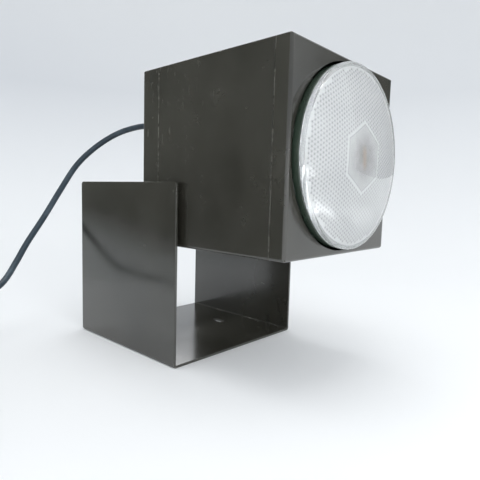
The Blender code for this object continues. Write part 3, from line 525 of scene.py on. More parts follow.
def catmull(spots, steps=8):
    """A Catmull-Rom curve through the spots."""
    spots = [2 * spots[0] - spots[1]] + spots + [2 * spots[-1] - spots[-2]]
    line = []
    for a, b, c, d in zip(spots, spots[1:], spots[2:], spots[3:]):
        for t in [step / steps for step in range(steps)]:
            line.append(0.5 * (2 * b + (c - a) * t + (2 * a - 5 * b + 4 * c - d) * t**2
                               + (3 * b - a - 3 * c + d) * t**3))
    return line + [spots[-2]]


def place(item, body, slot, *nodes, finishes=None):
    """Fix a piece to its body, give its finish, and say which CAD nodes it stands for."""
    for finish in finishes or (slot,):
        item.data.materials.append(FINISH[finish])
    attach(item, body)
    if nodes:
        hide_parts(*nodes)


# ---- cord, coil, tail

CORD_DIAMETER = 5.5 * MM
PLUG_HEIGHT = 18 * MM
TAIL_ANGLE = math.radians(150)
ENTRY_ANGLE = math.radians(-11.5)
COIL_TURNS = 6 + (360 - 150 - 11.5) / 360
COIL_INNER = 22.6 * MM

# The cord's route from its strain relief to its coil, in millimetres
CORD_ROUTE = [
    (0, 10, 190), (-2, 24, 191), (-6.7, 45.7, 193), (-14.1, 63.7, 192.1), (-25.8, 81.7, 185.3),
    (-40.8, 95.7, 171.5), (-56.2, 103.7, 153.4), (-70.7, 108.2, 128.9), (-86.1, 109.7, 103.4),
    (-103.8, 106.7, 79.5), (-115.4, 102.7, 63.1), (-128.7, 95.7, 48.3), (-147, 84, 39.5),
    (-164, 67, 34), (-179, 44, 27), (-189, 20, 19.5), (-195.5, -4, 13.5), (-199, -25, 9.5),
    (-200.5, -42, 7),
]
# The tail from the coil's top layer up to the plug: distance and rise, in millimetres
TAIL_RISES = [(7, 0.1), (14, 1.6), (21, 4.4), (27.5, 6.75), (30, 7.95), (33, 8.8), (36.7, 8.85)]


def coil_line():
    """Two flat layers of turns: inward on the floor, then outward on top of them."""
    centre = (COIL_LOW + COIL_HIGH) / 2
    outer = (COIL_HIGH.x - COIL_LOW.x) / 2 - CORD_DIAMETER / 2 - 0.15 * MM
    low = COIL_LOW.z + CORD_DIAMETER / 2
    count = round(COIL_TURNS * 36)
    line = []
    for share in [k / count for k in range(count + 1)]:
        r = COIL_INNER + (outer - COIL_INNER) * abs(1 - 2 * share)
        angle = ENTRY_ANGLE - TURN * COIL_TURNS * share
        step = min(max((share - 0.47) / 0.06, 0), 1)
        height = low + (CORD_DIAMETER + 0.05 * MM) * step * step * (3 - 2 * step)
        line.append(Vector((centre.x + r * math.cos(angle), centre.y + r * math.sin(angle), height)))
    return line


def make_cord():
    """The whole lead as one round tube: the free stretch, the coil and the tail."""
    coil = coil_line()
    heading = Vector((math.sin(TAIL_ANGLE), -math.cos(TAIL_ANGLE), 0))
    tail = [coil[-1] + heading * along * MM + Vector((0, 0, up * MM)) for along, up in TAIL_RISES]
    free = catmull([Vector(p) * MM for p in CORD_ROUTE] + [coil[0], coil[2]])[:-8]
    line = free + coil[1:] + catmull([coil[-1]] + tail, 4)[1:]
    cord = tube("cord_sheath", line, CORD_DIAMETER / 2 / MM, 14)
    cord.data.materials.append(FINISH["cord_rubber"])
    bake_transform(cord)
    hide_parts("cord", "cord_coil", "cord_tail")
    return cord, line


def make_tie():
    """A flat band drawn round the coil's turns on the far side."""
    centre = middle("cord_tie")
    half_x, half_y, half_z = (span("cord_tie", axis) / 2 for axis in range(3))
    thick, ease = 0.5, 0.15
    rings = []
    for shrink, y in ((ease, -half_y), (0, -half_y + ease), (0, half_y - ease),
                      (ease, half_y), (thick, half_y), (thick, -half_y)):
        turn = 2.6 - shrink
        outline = rounded_rectangle(half_x - 0.1 - shrink, half_z - 0.05 - shrink, turn, turn, 6)
        rings.append([centre + Vector((x, y, z)) * MM for x, z in outline])
    place(new_object("cord_tie_band", loft(rings, closed=True), 40), "root", "tie_plastic", "cord_tie")


# ---- bracket

YOKE_SHEET = 2 * MM
YOKE_BEND = 2.6 * MM
YOKE_CORNER = 2.8 * MM


def make_yoke():
    """The U bracket, bent from one strip, its edges broken and its base slots clean."""
    half, back, top = YOKE_HIGH

    def bend(radius, first, last):
        return [(half - YOKE_BEND + radius * c, YOKE_BEND + radius * s) for c, s in arc(first, last, 9)]

    def mirrored(side):
        return [(-x, z) for x, z in reversed(side)]

    inner = [(half, top), (half - YOKE_SHEET, top)] + bend(YOKE_BEND - YOKE_SHEET, 0, -90)
    outer = bend(YOKE_BEND, -90, 0)
    mesh_data = prism(inner + mirrored(inner) + mirrored(outer) + outer, -back, back, axis=1)
    corners = [
        edge for edge in mesh_data.edges
        if all(abs(v.co.z - top) < 1e-6 for v in edge.verts)
        and abs(edge.verts[0].co.y - edge.verts[1].co.y) < 1e-6
    ]
    bmesh.ops.bevel(mesh_data, geom=corners, offset=YOKE_CORNER, segments=8, profile=0.5, affect="EDGES")
    yoke = new_object("u_bracket", mesh_data)
    slots = []
    for opening in frame["record"]["physics"]["openings"]:
        if opening["name"] in ("base_slot_left", "base_slot_right"):
            low, high = opening["box_m"]
            outline = stadium(13.5, 5.5, (low[0] + high[0]) / 2, (low[1] + high[1]) / 2, 10)
            slots.append(new_object("cutter", prism(outline, -MM, YOKE_SHEET + MM)))
    carve(yoke, *slots)
    soften(yoke, 0.32, 3)
    mark_wear(yoke)
    place(yoke, "root", "housing_lacquer", "yoke_bracket")


# ---- housing

CAP_SHEET = 0.7 * MM
CAP_BEND = 2.2 * MM
BODY_SHEET = 1.2 * MM
TOP_CORNER = 1.2 * MM
BOTTOM_CORNER = 2.2 * MM
TONGUE_HALF_WIDTH = 50 * MM
TONGUE_INSET = 1 * MM
TONGUE_SHEET = 1 * MM
TONGUE_OVERLAP = 8 * MM
OPENING_RADIUS = 62.5
PAINT_GAP = 0.3 * MM
VENT_WIDTH = 4
UPPER_VENTS = (0.203, 14, (-45, -35, -25, 25, 35, 45))
LOWER_VENTS = (0.109, 20, range(-44, 45, 11))
CAP_SCREW_X = 40 * MM
EARTH_SCREW = (0.034, 0.176)
CABLE_HEIGHT = 0.190
COUNTERSINK = [(3.94, -1), (1.86, 1.45), (1.86, 5)]


def housing_ring(shrink, y):
    """The housing's square outline across Y, shrunk by a sheet's thickness or a bend's inset."""
    half_w = FRONT_HIGH.x - shrink
    half_h = (FRONT_HIGH.z - FRONT_LOW.z) / 2 - shrink
    top, bottom = (max(corner - shrink, 0.3 * MM) for corner in (TOP_CORNER, BOTTOM_CORNER))
    return [(x, y, AXIS_Z + z) for x, z in rounded_rectangle(half_w, half_h, top, bottom, 8)]


def screw_cutters(*ends):
    """Countersunk holes up through the housing's underside, for the screws of one or both caps."""
    return [turned("cutter", COUNTERSINK, (x, middle(f"{end}_cap_screw_left").y, FRONT_LOW.z), (0, 0, 1),
                   32, smooth=None)
            for end in ends for x in (-CAP_SCREW_X, CAP_SCREW_X)]


def painted_sheet(item, node, finish="housing_lacquer"):
    """Round a steel sheet's cut edges, mark their wear and place it on the housing."""
    soften(item, 0.16)
    mark_wear(item)
    place(item, "housing", "housing_lacquer", node, finishes=(finish,))


def make_body():
    """The square sleeve, flush with the caps, and the tongues that reach under their flanges."""
    front, back = FRONT_HIGH.y + PAINT_GAP, REAR_LOW.y - PAINT_GAP
    rings = [housing_ring(shrink, y) for shrink, y in
             ((0, front), (0, back), (BODY_SHEET, back), (BODY_SHEET, front))]
    body = new_object("housing_sleeve", loft(rings, closed=True))
    tongues = []
    for near, far in ((BODY_LOW.y, front + TONGUE_OVERLAP), (back - TONGUE_OVERLAP, BODY_HIGH.y)):
        for sign in (-1, 1):
            outside = AXIS_Z + sign * ((FRONT_HIGH.z - FRONT_LOW.z) / 2 - TONGUE_INSET)
            low, high = sorted((outside, outside - sign * TONGUE_SHEET))
            tongues.append(block((-TONGUE_HALF_WIDTH, near, low), (TONGUE_HALF_WIDTH, far, high)))
    carve(body, *tongues, operation="UNION")
    reach = BODY_HIGH.x + 5 * MM
    hole = rod(3.3, (-reach, PIVOT.y, PIVOT.z), (reach, PIVOT.y, PIVOT.z), 32)
    carve(body, hole, *screw_cutters("front", "rear"))
    painted_sheet(body, "housing_body")


def cap_shell(name, face_y, mouth_y):
    """A shallow square tray: its face, the bend round it, and the flange to its mouth."""
    away = 1 if mouth_y > face_y else -1

    def bend(radius, inset):
        return [housing_ring(inset + radius * (1 - s), face_y + away * (inset + radius * (1 - c)))
                for c, s in arc(0, 90, 7)]

    rings = bend(CAP_BEND, 0) + [housing_ring(0, mouth_y), housing_ring(CAP_SHEET, mouth_y)]
    rings += reversed(bend(CAP_BEND - CAP_SHEET, CAP_SHEET))
    return new_object(name, loft(rings))


def make_front_cap():
    """The front cap, with the round opening that the lamp stands out of."""
    cap = cap_shell("front_cover", FACE_Y, FRONT_HIGH.y)
    opening = rod(OPENING_RADIUS, LAMP @ Vector((0, 0, -3)), LAMP @ Vector((0, 0, 3)), 192)
    carve(cap, opening, *screw_cutters("front"))
    painted_sheet(cap, "front_cap", "front_lacquer")


def make_rear_cap():
    """The rear cap: round-ended vent slots, the cord's hole and the screw holes."""
    cap = cap_shell("rear_cover", BACK_Y, REAR_LOW.y)
    y0, y1 = BACK_Y - 3 * MM, BACK_Y + 3 * MM
    cutters = []
    for centre_z, height, columns in (UPPER_VENTS, LOWER_VENTS):
        for column in columns:
            outline = stadium(height, VENT_WIDTH, column * MM, centre_z, 8)
            cutters.append(new_object("cutter", prism(outline, y0, y1, axis=1)))
    cutters.append(rod(6.3, (0, y0, CABLE_HEIGHT), (0, y1, CABLE_HEIGHT)))
    for x, z in ((-CAP_SCREW_X, AXIS_Z), (CAP_SCREW_X, AXIS_Z), EARTH_SCREW):
        cutters.append(rod(2.2, (x, y0, z), (x, y1, z), 24))
    carve(cap, *cutters, *screw_cutters("rear"))
    painted_sheet(cap, "rear_cap", "rear_lacquer")


# ---- lamp, in millimetres

LENS_CROWN = -15.5
LENS_SHOULDER = -8.8
LENS_SHOULDER_RADIUS = 59.2
LENS_RADIUS = 61.2
LENS_BACK = -4.2
LENS_GLASS = 2.6
INNER_DOME = 58
CELL = 2.8
CELL_RISE = 0.42
HEXAGON = 19.2
STIPPLE = 1.3
REFLECTOR_FOCUS = 13
REFLECTOR_VERTEX = 64.5
RIM_SEGMENTS = 144
E27_PITCH = 3.63


def dome_depth(r, crown, shoulder, radius):
    """Depth of a shallow spherical dome at a distance from its middle."""
    rise = shoulder - crown
    sphere = (radius**2 + rise**2) / (2 * rise)
    return crown + sphere - math.sqrt(sphere**2 - r**2)


def hexagon_distance(x, z):
    """How far a point is outside the middle hexagon, whose points are up and down."""
    x, z = abs(x), abs(z)
    return max(x, 0.5 * x + 0.8660254 * z) - HEXAGON


def lenticule_points():
    """Heights over the lens's inner face, and how far each place is up a bulge: a honeycomb of
    small bulges out to a plain border, and a raised hexagon round a stippled field."""
    points = {}

    def put(x, z, height, cell=0.0):
        points.setdefault((round(x, 3), round(z, 3)), (height, cell))

    border = INNER_DOME - 0.55
    for k in range(RIM_SEGMENTS):
        angle = TURN * (k + 0.5) / RIM_SEGMENTS
        put(border * math.cos(angle), border * math.sin(angle), 0.0)
    column, corner = CELL * math.sqrt(3) / 2, CELL / math.sqrt(3)
    reach = int(INNER_DOME / column) + 1
    for i in range(-reach, reach + 1):
        for j in range(-reach, reach + 1):
            x, z = i * column, (j + 0.5 * (i % 2)) * CELL
            if math.hypot(x, z) > INNER_DOME - 1.5 or hexagon_distance(x, z) < 1.6:
                continue
            put(x, z, CELL_RISE, 1.0)
            for c, s in arc(0, 300, 5):
                put(x + 0.85 * c, z + 0.85 * s, 0.72 * CELL_RISE, 0.55)
                put(x + corner * c, z + corner * s, 0.0)
    # The last value of each ring goes into the cell layer that sets the painted grey, so the ring just inside the
    # ridge is drawn as a painted shade line.
    for offset, height, line in ((-1.3, 0.0, 0.0), (-0.4, 0.11, 0.7), (0.4, 0.11, 0.0), (0.9, 0.0, 0.3)):
        size = (HEXAGON + offset) / math.cos(math.radians(30))
        turns = arc(30, 390, 6)
        for (c0, s0), (c1, s1) in zip(turns, turns[1:]):
            for share in [k / 16 for k in range(16)]:
                x, z = c0 * (1 - share) + c1 * share, s0 * (1 - share) + s1 * share
                put(size * x, size * z, height, line)
    reach = int(HEXAGON / STIPPLE) + 3
    for i in range(-reach, reach + 1):
        for j in range(-reach, reach + 1):
            x = (i + random.uniform(-0.25, 0.25)) * STIPPLE
            z = (j + random.uniform(-0.25, 0.25)) * STIPPLE
            if hexagon_distance(x, z) < -1.8:
                put(x, z, random.uniform(0, 0.06))
    return points


def make_lens():
    """The pressed front glass: smooth outside, lenticules inside, thick at its rim."""
    profile = []
    for r in [LENS_SHOULDER_RADIUS * k / 18 for k in range(19)]:
        profile.append((r, dome_depth(r, LENS_CROWN, LENS_SHOULDER, LENS_SHOULDER_RADIUS)))
    fillet = LENS_RADIUS - LENS_SHOULDER_RADIUS
    profile += [(LENS_SHOULDER_RADIUS + fillet * s, LENS_SHOULDER + fillet * (1 - c))
                for c, s in arc(15, 90, 5)]
    profile += [(LENS_RADIUS, LENS_BACK - 0.5), (LENS_RADIUS - 0.5, LENS_BACK),
                (58.4, LENS_BACK), (58.2, LENS_BACK - 0.3)]
    mesh_data = bmesh.new()
    cell_layer, middle_layer = (mesh_data.verts.layers.float.new(name) for name in ("cell", "middle"))
    rows = [[mesh_data.verts.new(p) for p in around(LAMP, r, along, RIM_SEGMENTS if r else 1)]
            for r, along in profile]
    circle = arc(0, 360, RIM_SEGMENTS)[:-1]
    flat = [Vector((INNER_DOME * MM * c, INNER_DOME * MM * s)) for c, s in circle]
    given = [(0.0, 0.0)] * RIM_SEGMENTS
    for (x, z), height_and_cell in lenticule_points().items():
        flat.append(Vector((x * MM, z * MM)))
        given.append(height_and_cell)
    rim_edges = [(k, (k + 1) % RIM_SEGMENTS) for k in range(RIM_SEGMENTS)]
    spots, _, faces, origins, _, _ = geometry.delaunay_2d_cdt(flat, rim_edges, [], 1, 1e-7)
    inner = []
    for spot, origin in zip(spots, origins):
        height, cell = given[origin[0]] if origin else (0.0, 0.0)
        x, z = spot / MM
        dome = dome_depth(min(math.hypot(x, z), INNER_DOME), LENS_CROWN + LENS_GLASS,
                          LENS_SHOULDER + LENS_GLASS, INNER_DOME)
        vertex = mesh_data.verts.new(LAMP @ Vector((x, z, dome + height)))
        vertex[cell_layer] = cell
        vertex[middle_layer] = 1.0 if hexagon_distance(x, z) < 0 else 0.0
        inner.append(vertex)
    for face in faces:
        mesh_data.faces.new([inner[i] for i in face]).material_index = 1
    new_place = {origin[0]: number for number, origin in enumerate(origins) if origin}
    skin(mesh_data, rows + [[inner[new_place[k]] for k in range(RIM_SEGMENTS)]])
    place(new_object("lens", mesh_data, 60), "lamp", "lens_glass", "lamp_lens",
          finishes=("lens_glass", "prism_glass"))


def bowl_radius(distance, offset=0.0):
    return math.sqrt(4 * REFLECTOR_FOCUS * (REFLECTOR_VERTEX - distance)) + offset


def make_bowl():
    """The pressed bowl: mirror inside, green rim, silvered outside and a neck."""
    start, edge = LENS_BACK + 0.3, LENS_RADIUS - 0.2
    inner = [(57.2, start)] + [(bowl_radius(d), d) for d in [2 + 59 * k / 22 for k in range(23)]]
    inner += [(12.6, 62.2), (11.8, 63.4), (11.8, 77.5), (0, 77.5)]
    rim = [(edge - 0.4, start), (edge, start + 0.4), (edge, 0.9), (edge - 0.5, 1.5)]
    outer = [(60.0, 3), (59.0, 5.5)] + [(bowl_radius(d, 3), d) for d in [9 + 3 * k for k in range(17)]]
    outer += [(20.3, 60.5), (18.6, 63.5), (17.6, 67), (17.5, 80), (0, 80)]
    bands = [0] * (len(inner) - 1) + [1] * (len(rim) + 1) + [2] * (len(outer) - 1)
    bowl = turned("reflector_bowl", inner[::-1] + rim + outer, *ALONG_LAMP, RIM_SEGMENTS, bands=bands)
    place(bowl, "lamp", "mirrored_glass", "lamp_reflector",
          finishes=("mirrored_glass", "rim_glass", "silvered_glass"))


def make_filament():
    """The coiled filament at the bowl's focus, upright between its two lead wires."""
    focus = REFLECTOR_VERTEX - REFLECTOR_FOCUS
    half, coil, turns, steps = 9, 1.25, 13, 14
    line = [(0, -half, 76 - 5 * k) for k in range(5)] + [(0, 0.3 - half, focus + 0.5)]
    for k in range(turns * steps + 1):
        angle = TURN * k / steps
        rise = half * (1.6 * k / (turns * steps) - 0.8)
        line.append((coil * math.sin(angle), rise, focus - coil * math.cos(angle)))
    line += [(0, half - 0.3, focus + 0.5)] + [(0, half, focus + 4.5 + 5 * k) for k in range(5)]
    filament = tube("filament_coil", [LAMP @ Vector(p) for p in line], 0.28, 8)
    place(filament, "lamp", "tungsten", "lamp_filament")


LAMP_SKIRT = [
    (19.6, 68.9), (19.45, 68.5), (17.9, 68.5), (17.9, 83), (12, 91), (12, 92.0), (12.2, 92.2),
    (14.2, 92.2), (14.6, 91.8), (16.2, 88.9), (17.6, 86.7), (19.1, 85.2), (19.6, 83.6), (19.6, 81.6),
    (19.3, 81.3), (19.3, 80.5), (19.6, 80.2), (19.6, 72.8), (19.3, 72.5), (19.3, 71.7), (19.6, 71.4),
]
INSULATOR = [(0, 116), (10.4, 116), (10.4, 117.4), (10.1, 117.8), (8.6, 118.3), (6.6, 118.9),
             (5.4, 119.4), (0, 119.4)]
CONTACT = [(0, 119.7), (4.6, 119.7), (4.7, 119.9), (4.2, 120.3), (3.2, 120.6), (1.6, 120.7), (0, 120.7)]


def make_lamp_base():
    """The skirt, the screw shell with its rolled thread, the insulator and the contact."""
    skirt = turned("lamp_collar", LAMP_SKIRT, *ALONG_LAMP, 96, closed=True)
    place(skirt, "lamp", "brass", "lamp_skirt")
    place(threaded_shell("screw_shell", 13.1, 12.2, 10.8, 92.5, 117.6), "lamp", "brass", "lamp_base_shell")
    place(turned("base_insulator", INSULATOR, *ALONG_LAMP, 64), "lamp", "black_glass", "lamp_base_insulator")
    place(turned("base_contact", CONTACT, *ALONG_LAMP, 48), "lamp", "brass", "lamp_base_contact")


def threaded_shell(name, crest, root, bore, start, end):
    """A thin screw shell whose rolled thread winds round it."""
    rows, rings = 84, []
    for row in range(rows + 1):
        along = start + (end - start) * row / rows
        fade = min(1.0, (along - start) / 3.5, (end - along) / 1.5)

        def wave(angle):
            wound = math.cos(TURN * along / E27_PITCH - angle) * fade + (1 - fade) * 0.6
            return (crest + root) / 2 + (crest - root) / 2 * wound

        rings.append(around(LAMP, wave, along, 64))
    rings += [around(LAMP, bore, along, 64) for along in (end, start)]
    return new_object(name, loft(rings, closed=True), 50)


# ---- screws, nuts and washers

PAN_HEAD = [(3.3, 0), (3.4, 0.1), (3.4, 1.0), (3.2, 1.45), (2.7, 1.8), (1.8, 1.96), (0.6, 2.0)]
SUNK_HEAD = [(1.55, 0.05), (2.5, 1.18), (2.6, 1.22), (2.6, 1.28), (2.5, 1.3), (0.6, 1.3)]
FLAT_HEAD = [(3.1, 0), (3.2, 0.1), (3.2, 0.8), (3.0, 1.1), (2.4, 1.26), (0.6, 1.3)]
TERMINAL_HEAD = [(3.1, 0), (3.2, 0.1), (3.2, 1.1), (2.9, 1.45), (2.2, 1.6), (0.6, 1.6)]
STUD_HEAD = [(6.3, 0), (6.5, 0.2), (6.5, 1.0), (6.3, 1.2), (1.0, 1.2)]


def face_middle(node, axis, side):
    """The middle of one face of a CAD node's box: side 0 is the low face and 1 the high one."""
    spot = middle(node)
    spot[axis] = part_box(node)[side][axis]
    return spot


def thread(into, radius, start, end, pitch, segments, blunt=True):
    """Rings of a screw thread along an axis, fading out at both ends."""
    rows = max(6, round((end - start) / pitch * 7))
    rings = []
    for row in range(rows + 1):
        along = start + (end - start) * row / rows
        fade = max(0.0, min(1.0, (along - start) / pitch, (end - along) / pitch))
        crest = radius * (min(1.0, 0.74 + 0.5 * (along - start) / radius) if blunt else 1.0)

        def groove(angle):
            wave = 0.5 - 0.5 * math.cos(TURN * along / pitch - angle)
            return crest - 0.34 * pitch * wave * fade

        rings.append(around(into, groove, along, segments))
    return rings


def screw(name, head, radius, reach, origin, direction, pitch, slot=None):
    """A screw: its head's outline stands out along direction and its threaded shank runs the
    other way. The slot across its head is (half length, depth)."""
    into = axis_frame(origin, direction)
    rings = thread(into, radius, -reach, 0, pitch, 24) + [around(into, r, up, 24) for r, up in head]
    item = new_object(name, loft(rings), 35)
    if slot:
        (half, deep), top = slot, head[-1][1]
        cutter = block((-half, -0.45, top - deep), (half, 0.45, top + 1))
        cutter.data.transform(into)
        carve(item, cutter)
    return item


def make_screws():
    """The screws of the caps, the holder's strap, the holder and the earth point."""
    for end in ("front", "rear"):
        for side in ("left", "right"):
            node = f"{end}_cap_screw_{side}"
            origin = face_middle(node, 2, 0) + Vector((0, 0, 1.3 * MM))
            item = screw(f"{end}_cover_screw_{side}", SUNK_HEAD, 1.5, span(node, 2) - 1.3, origin,
                         (0, 0, -1), 0.5, (3.2, 0.6))
            place(item, "housing", "plated_steel", node)
    for node, head, radius, slot in (
        ("bracket_screw_left", PAN_HEAD, 1.8, "plated_steel"),
        ("bracket_screw_right", PAN_HEAD, 1.8, "plated_steel"),
        ("holder_screw_left", FLAT_HEAD, 1.7, "plated_steel"),
        ("holder_screw_right", FLAT_HEAD, 1.7, "plated_steel"),
        ("earth_screw", PAN_HEAD, 1.8, "brass"),
    ):
        tall = head[-1][1]
        origin = face_middle(node, 1, 1) - Vector((0, tall * MM, 0))
        item = screw(node + "_cut", head, radius, span(node, 1) - tall, origin, (0, 1, 0), 0.7, (4.2, 0.8))
        place(item, "housing", slot, node)


def nut(name, across, hole, height, origin, direction):
    """A hexagon nut with its corners turned off at both ends."""
    into = axis_frame(origin, direction)
    turned_off = 0.96 * across / 2
    chamfer = (across / 2 / math.cos(math.pi / 6) - turned_off) / 1.6
    levels = [chamfer * k / 4 for k in range(5)]
    rings = []
    for along, room in [(z, z) for z in levels] + [(height - z, z) for z in reversed(levels)]:
        def side(angle):
            flat = across / 2 / math.cos(angle % (math.pi / 3) - math.pi / 6)
            return min(flat, turned_off + 1.6 * room)

        rings.append(around(into, side, along, 72))
    ease = 0.3
    for r, along in ((hole + ease, height), (hole, height - ease), (hole, ease), (hole + ease, 0)):
        rings.append(around(into, r, along, 72))
    return new_object(name, loft(rings, closed=True), 30)


def washer(name, outer, inner, thick, origin, direction):
    """A flat ring with its outer edges rounded."""
    ease, half_ease = 0.15, 0.045
    profile = [(inner, 0), (outer - ease, 0), (outer - half_ease, half_ease), (outer, ease),
               (outer, thick - ease), (outer - half_ease, thick - half_ease), (outer - ease, thick),
               (inner, thick)]
    return turned(name, profile, origin, direction, closed=True)


def spring_washer(name, outer, inner, thick, rise, origin, direction):
    """A split ring whose two ends stand slightly apart."""
    into = axis_frame(origin, direction)
    section = ((inner, 0), (outer, 0), (outer, thick), (inner, thick))
    steps = 56
    rings = [[into @ Vector((r * c, r * s, rise * k / steps + z)) for r, z in section]
             for k, (c, s) in enumerate(arc(96, 444, steps))]
    item = new_object(name, loft(rings))
    soften(item, 0.12)
    return item


def make_pivots():
    """On each side a stud from the arm, a fibre spacer, a washer, a spring washer and a nut."""
    for side, sign, outer_face in (("left", -1, 0), ("right", 1, 1)):
        outward = Vector((sign, 0, 0))

        def where(part):
            """The part's length along the pivot, its outer end and the way in."""
            node = f"pivot_{part}_{side}"
            return span(node, 0), face_middle(node, 0, outer_face), -outward

        length, end, _ = where("stud")
        stud = screw(f"pivot_pin_{side}", STUD_HEAD, 3, length - 1.2, end - 1.2 * MM * outward, outward, 1.0)
        place(stud, "root", "plated_steel", f"pivot_stud_{side}")
        spacer = washer(f"fibre_spacer_{side}", 5.2, 3.3, *where("spacer"))
        place(spacer, "housing", "fibre", f"pivot_spacer_{side}")
        flat = washer(f"flat_washer_{side}", 6.2, 3.3, *where("washer"))
        place(flat, "housing", "plated_steel", f"pivot_washer_{side}")
        split = spring_washer(f"split_washer_{side}", 5.4, 3.3, 1.1, 0.3, *where("spring_washer")[1:])
        place(split, "root", "plated_steel", f"pivot_spring_washer_{side}")
        place(nut(f"hexagon_nut_{side}", 10, 3.2, *where("nut")), "root", "plated_steel", f"pivot_nut_{side}")


# ---- holder, wires and gland

HOLDER = [
    (0.5, 122, 0), (13.6, 122, 0), (14.6, 121, 0), (14.6, 97.2, 0), (14.9, 96, 0), (16.2, 94, 0),
    (16.8, 93.6, 0), (20.6, 93.6, 0), (21.6, 94, 0), (22.3, 94.9, 0), (22.5, 96, 0.2),
    (22.5, 98, 0.8), (22.5, 113.5, 0.8), (22.5, 115.8, 0.1), (22.2, 117.2, 0), (20.6, 119.2, 0),
    (19.4, 120.4, 0), (19, 121.6, 0), (19, 131.6, 0), (18.6, 132.1, 0), (18.0, 132.3, 0), (0.5, 132.3, 0),
]


def fluted(into, rows, count, segments=144):
    """Rings from (radius, distance along the axis, depth of the flutes round it)."""
    return [around(into, lambda angle: r - dip * (0.5 - 0.5 * math.cos(count * angle)), along, segments)
            for r, along, dip in rows]


def make_holder():
    """The porcelain holder, its threaded sleeve, its spring contact and its two terminals."""
    body = new_object("porcelain_holder", loft(fluted(axis_frame(*ALONG_LAMP), HOLDER, 18)), 40)
    holes = []
    for side in ("left", "right"):
        x, _, z = middle(f"holder_screw_{side}")
        holes.append(rod(2, (x, FACE_Y + 124.5 * MM, z), (x, FACE_Y + 134 * MM, z), 24))
    carve(body, *holes)
    place(body, "housing", "ceramic", "lampholder_body")
    sleeve = threaded_shell("threaded_sleeve", 14.3, 13.9, 13.5, 97, 120.5)
    place(sleeve, "housing", "brass", "lampholder_sleeve")
    low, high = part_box("lampholder_contact")
    rings = []
    for share in [k / 16 for k in range(17)]:
        z = low.z + (high.z - low.z) * share
        half = 3 * MM * min(1.0, 0.45 + 3.2 * (1 - share))
        near = low.y + 0.33 * MM * (1 - math.sin(math.pi * share))
        far = near + 0.35 * MM
        rings.append([(-half, near, z), (half, near, z), (half, far, z), (-half, far, z)])
    spring = new_object("centre_spring", loft(rings))
    soften(spring, 0.08)
    place(spring, "housing", "brass", "lampholder_contact")
    for side, sign, foot_face in (("live", 1, 0), ("neutral", -1, 1)):
        foot, up = face_middle(f"terminal_{side}", 2, foot_face), Vector((0, 0, sign))
        item = screw(f"terminal_screw_{side}", TERMINAL_HEAD, 1.6, 2, foot + 2 * MM * up, up, 0.6, (4, 0.8))
        place(item, "housing", "brass", f"terminal_{side}")
        plate = washer(f"terminal_plate_{side}", 3.2, 1.7, 0.9, foot + 0.9 * MM * up, up)
        place(plate, "housing", "brass")


def make_strap():
    """The bent strap that carries the holder on the rear cap, and the earth screw's nut."""
    low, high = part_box("holder_bracket")
    sheet, front, end = 1.5 * MM, low.y, high.y - 1.5 * MM
    half = [(46, end), (33.4, end), (32.6, end - 0.25 * MM), (29.5, front + 0.3 * MM), (28.6, front)]
    line = [(-x * MM, y) for x, y in half] + [(x * MM, y) for x, y in reversed(half)]
    outline = line + [(x, y + sheet) for x, y in reversed(line)]
    strap = new_object("holder_strap", prism(outline, low.z, high.z))
    holes = []
    for node in ("holder_screw_left", "holder_screw_right", "bracket_screw_left", "bracket_screw_right"):
        x, _, z = middle(node)
        holes.append(rod(2.1, (x, front - 2 * MM, z), (x, high.y + 2 * MM, z), 32))
    carve(strap, *holes)
    soften(strap, 0.25)
    place(strap, "housing", "plated_steel", "holder_bracket")
    item = nut("earth_hexagon", 7, 2.0, span("earth_nut", 1), face_middle("earth_nut", 1, 1), (0, -1, 0))
    place(item, "housing", "brass", "earth_nut")


def make_wires():
    """The three wires from the gland to the two terminals and the earth screw."""
    rear, top = BACK_Y / MM, AXIS_Z / MM
    y, holder_y = rear - 9, FACE_Y / MM + 126.5
    for node, slot, route in (
        ("wire_live", "wire_brown",
         [(0, y - 0.5, 190), (0, y - 5, 189.5), (0, y - 6, 186), (0, holder_y - 1, 182),
          (0, holder_y, top + 23.4)]),
        ("wire_neutral", "wire_blue",
         [(-2.6, y - 0.5, 189), (-5, y - 7, 188), (-14, holder_y - 7, 184), (-26, holder_y - 6, 172),
          (-30, holder_y - 5, 154), (-24, holder_y - 3, 136), (-10, holder_y, 126.5),
          (-2, holder_y, 127), (0, holder_y, top - 23.4)]),
        ("wire_earth", "wire_green",
         [(2.6, y - 0.5, 190), (6, y - 6, 190), (16, y - 7, 188), (26, y - 3, 184), (32, rear - 7, 182),
          (34, rear - 6, 180.6)]),
    ):
        line = catmull([Vector(p) * MM for p in route])
        place(tube(node + "_lead", line, 1.1, 12), "housing", slot, node)


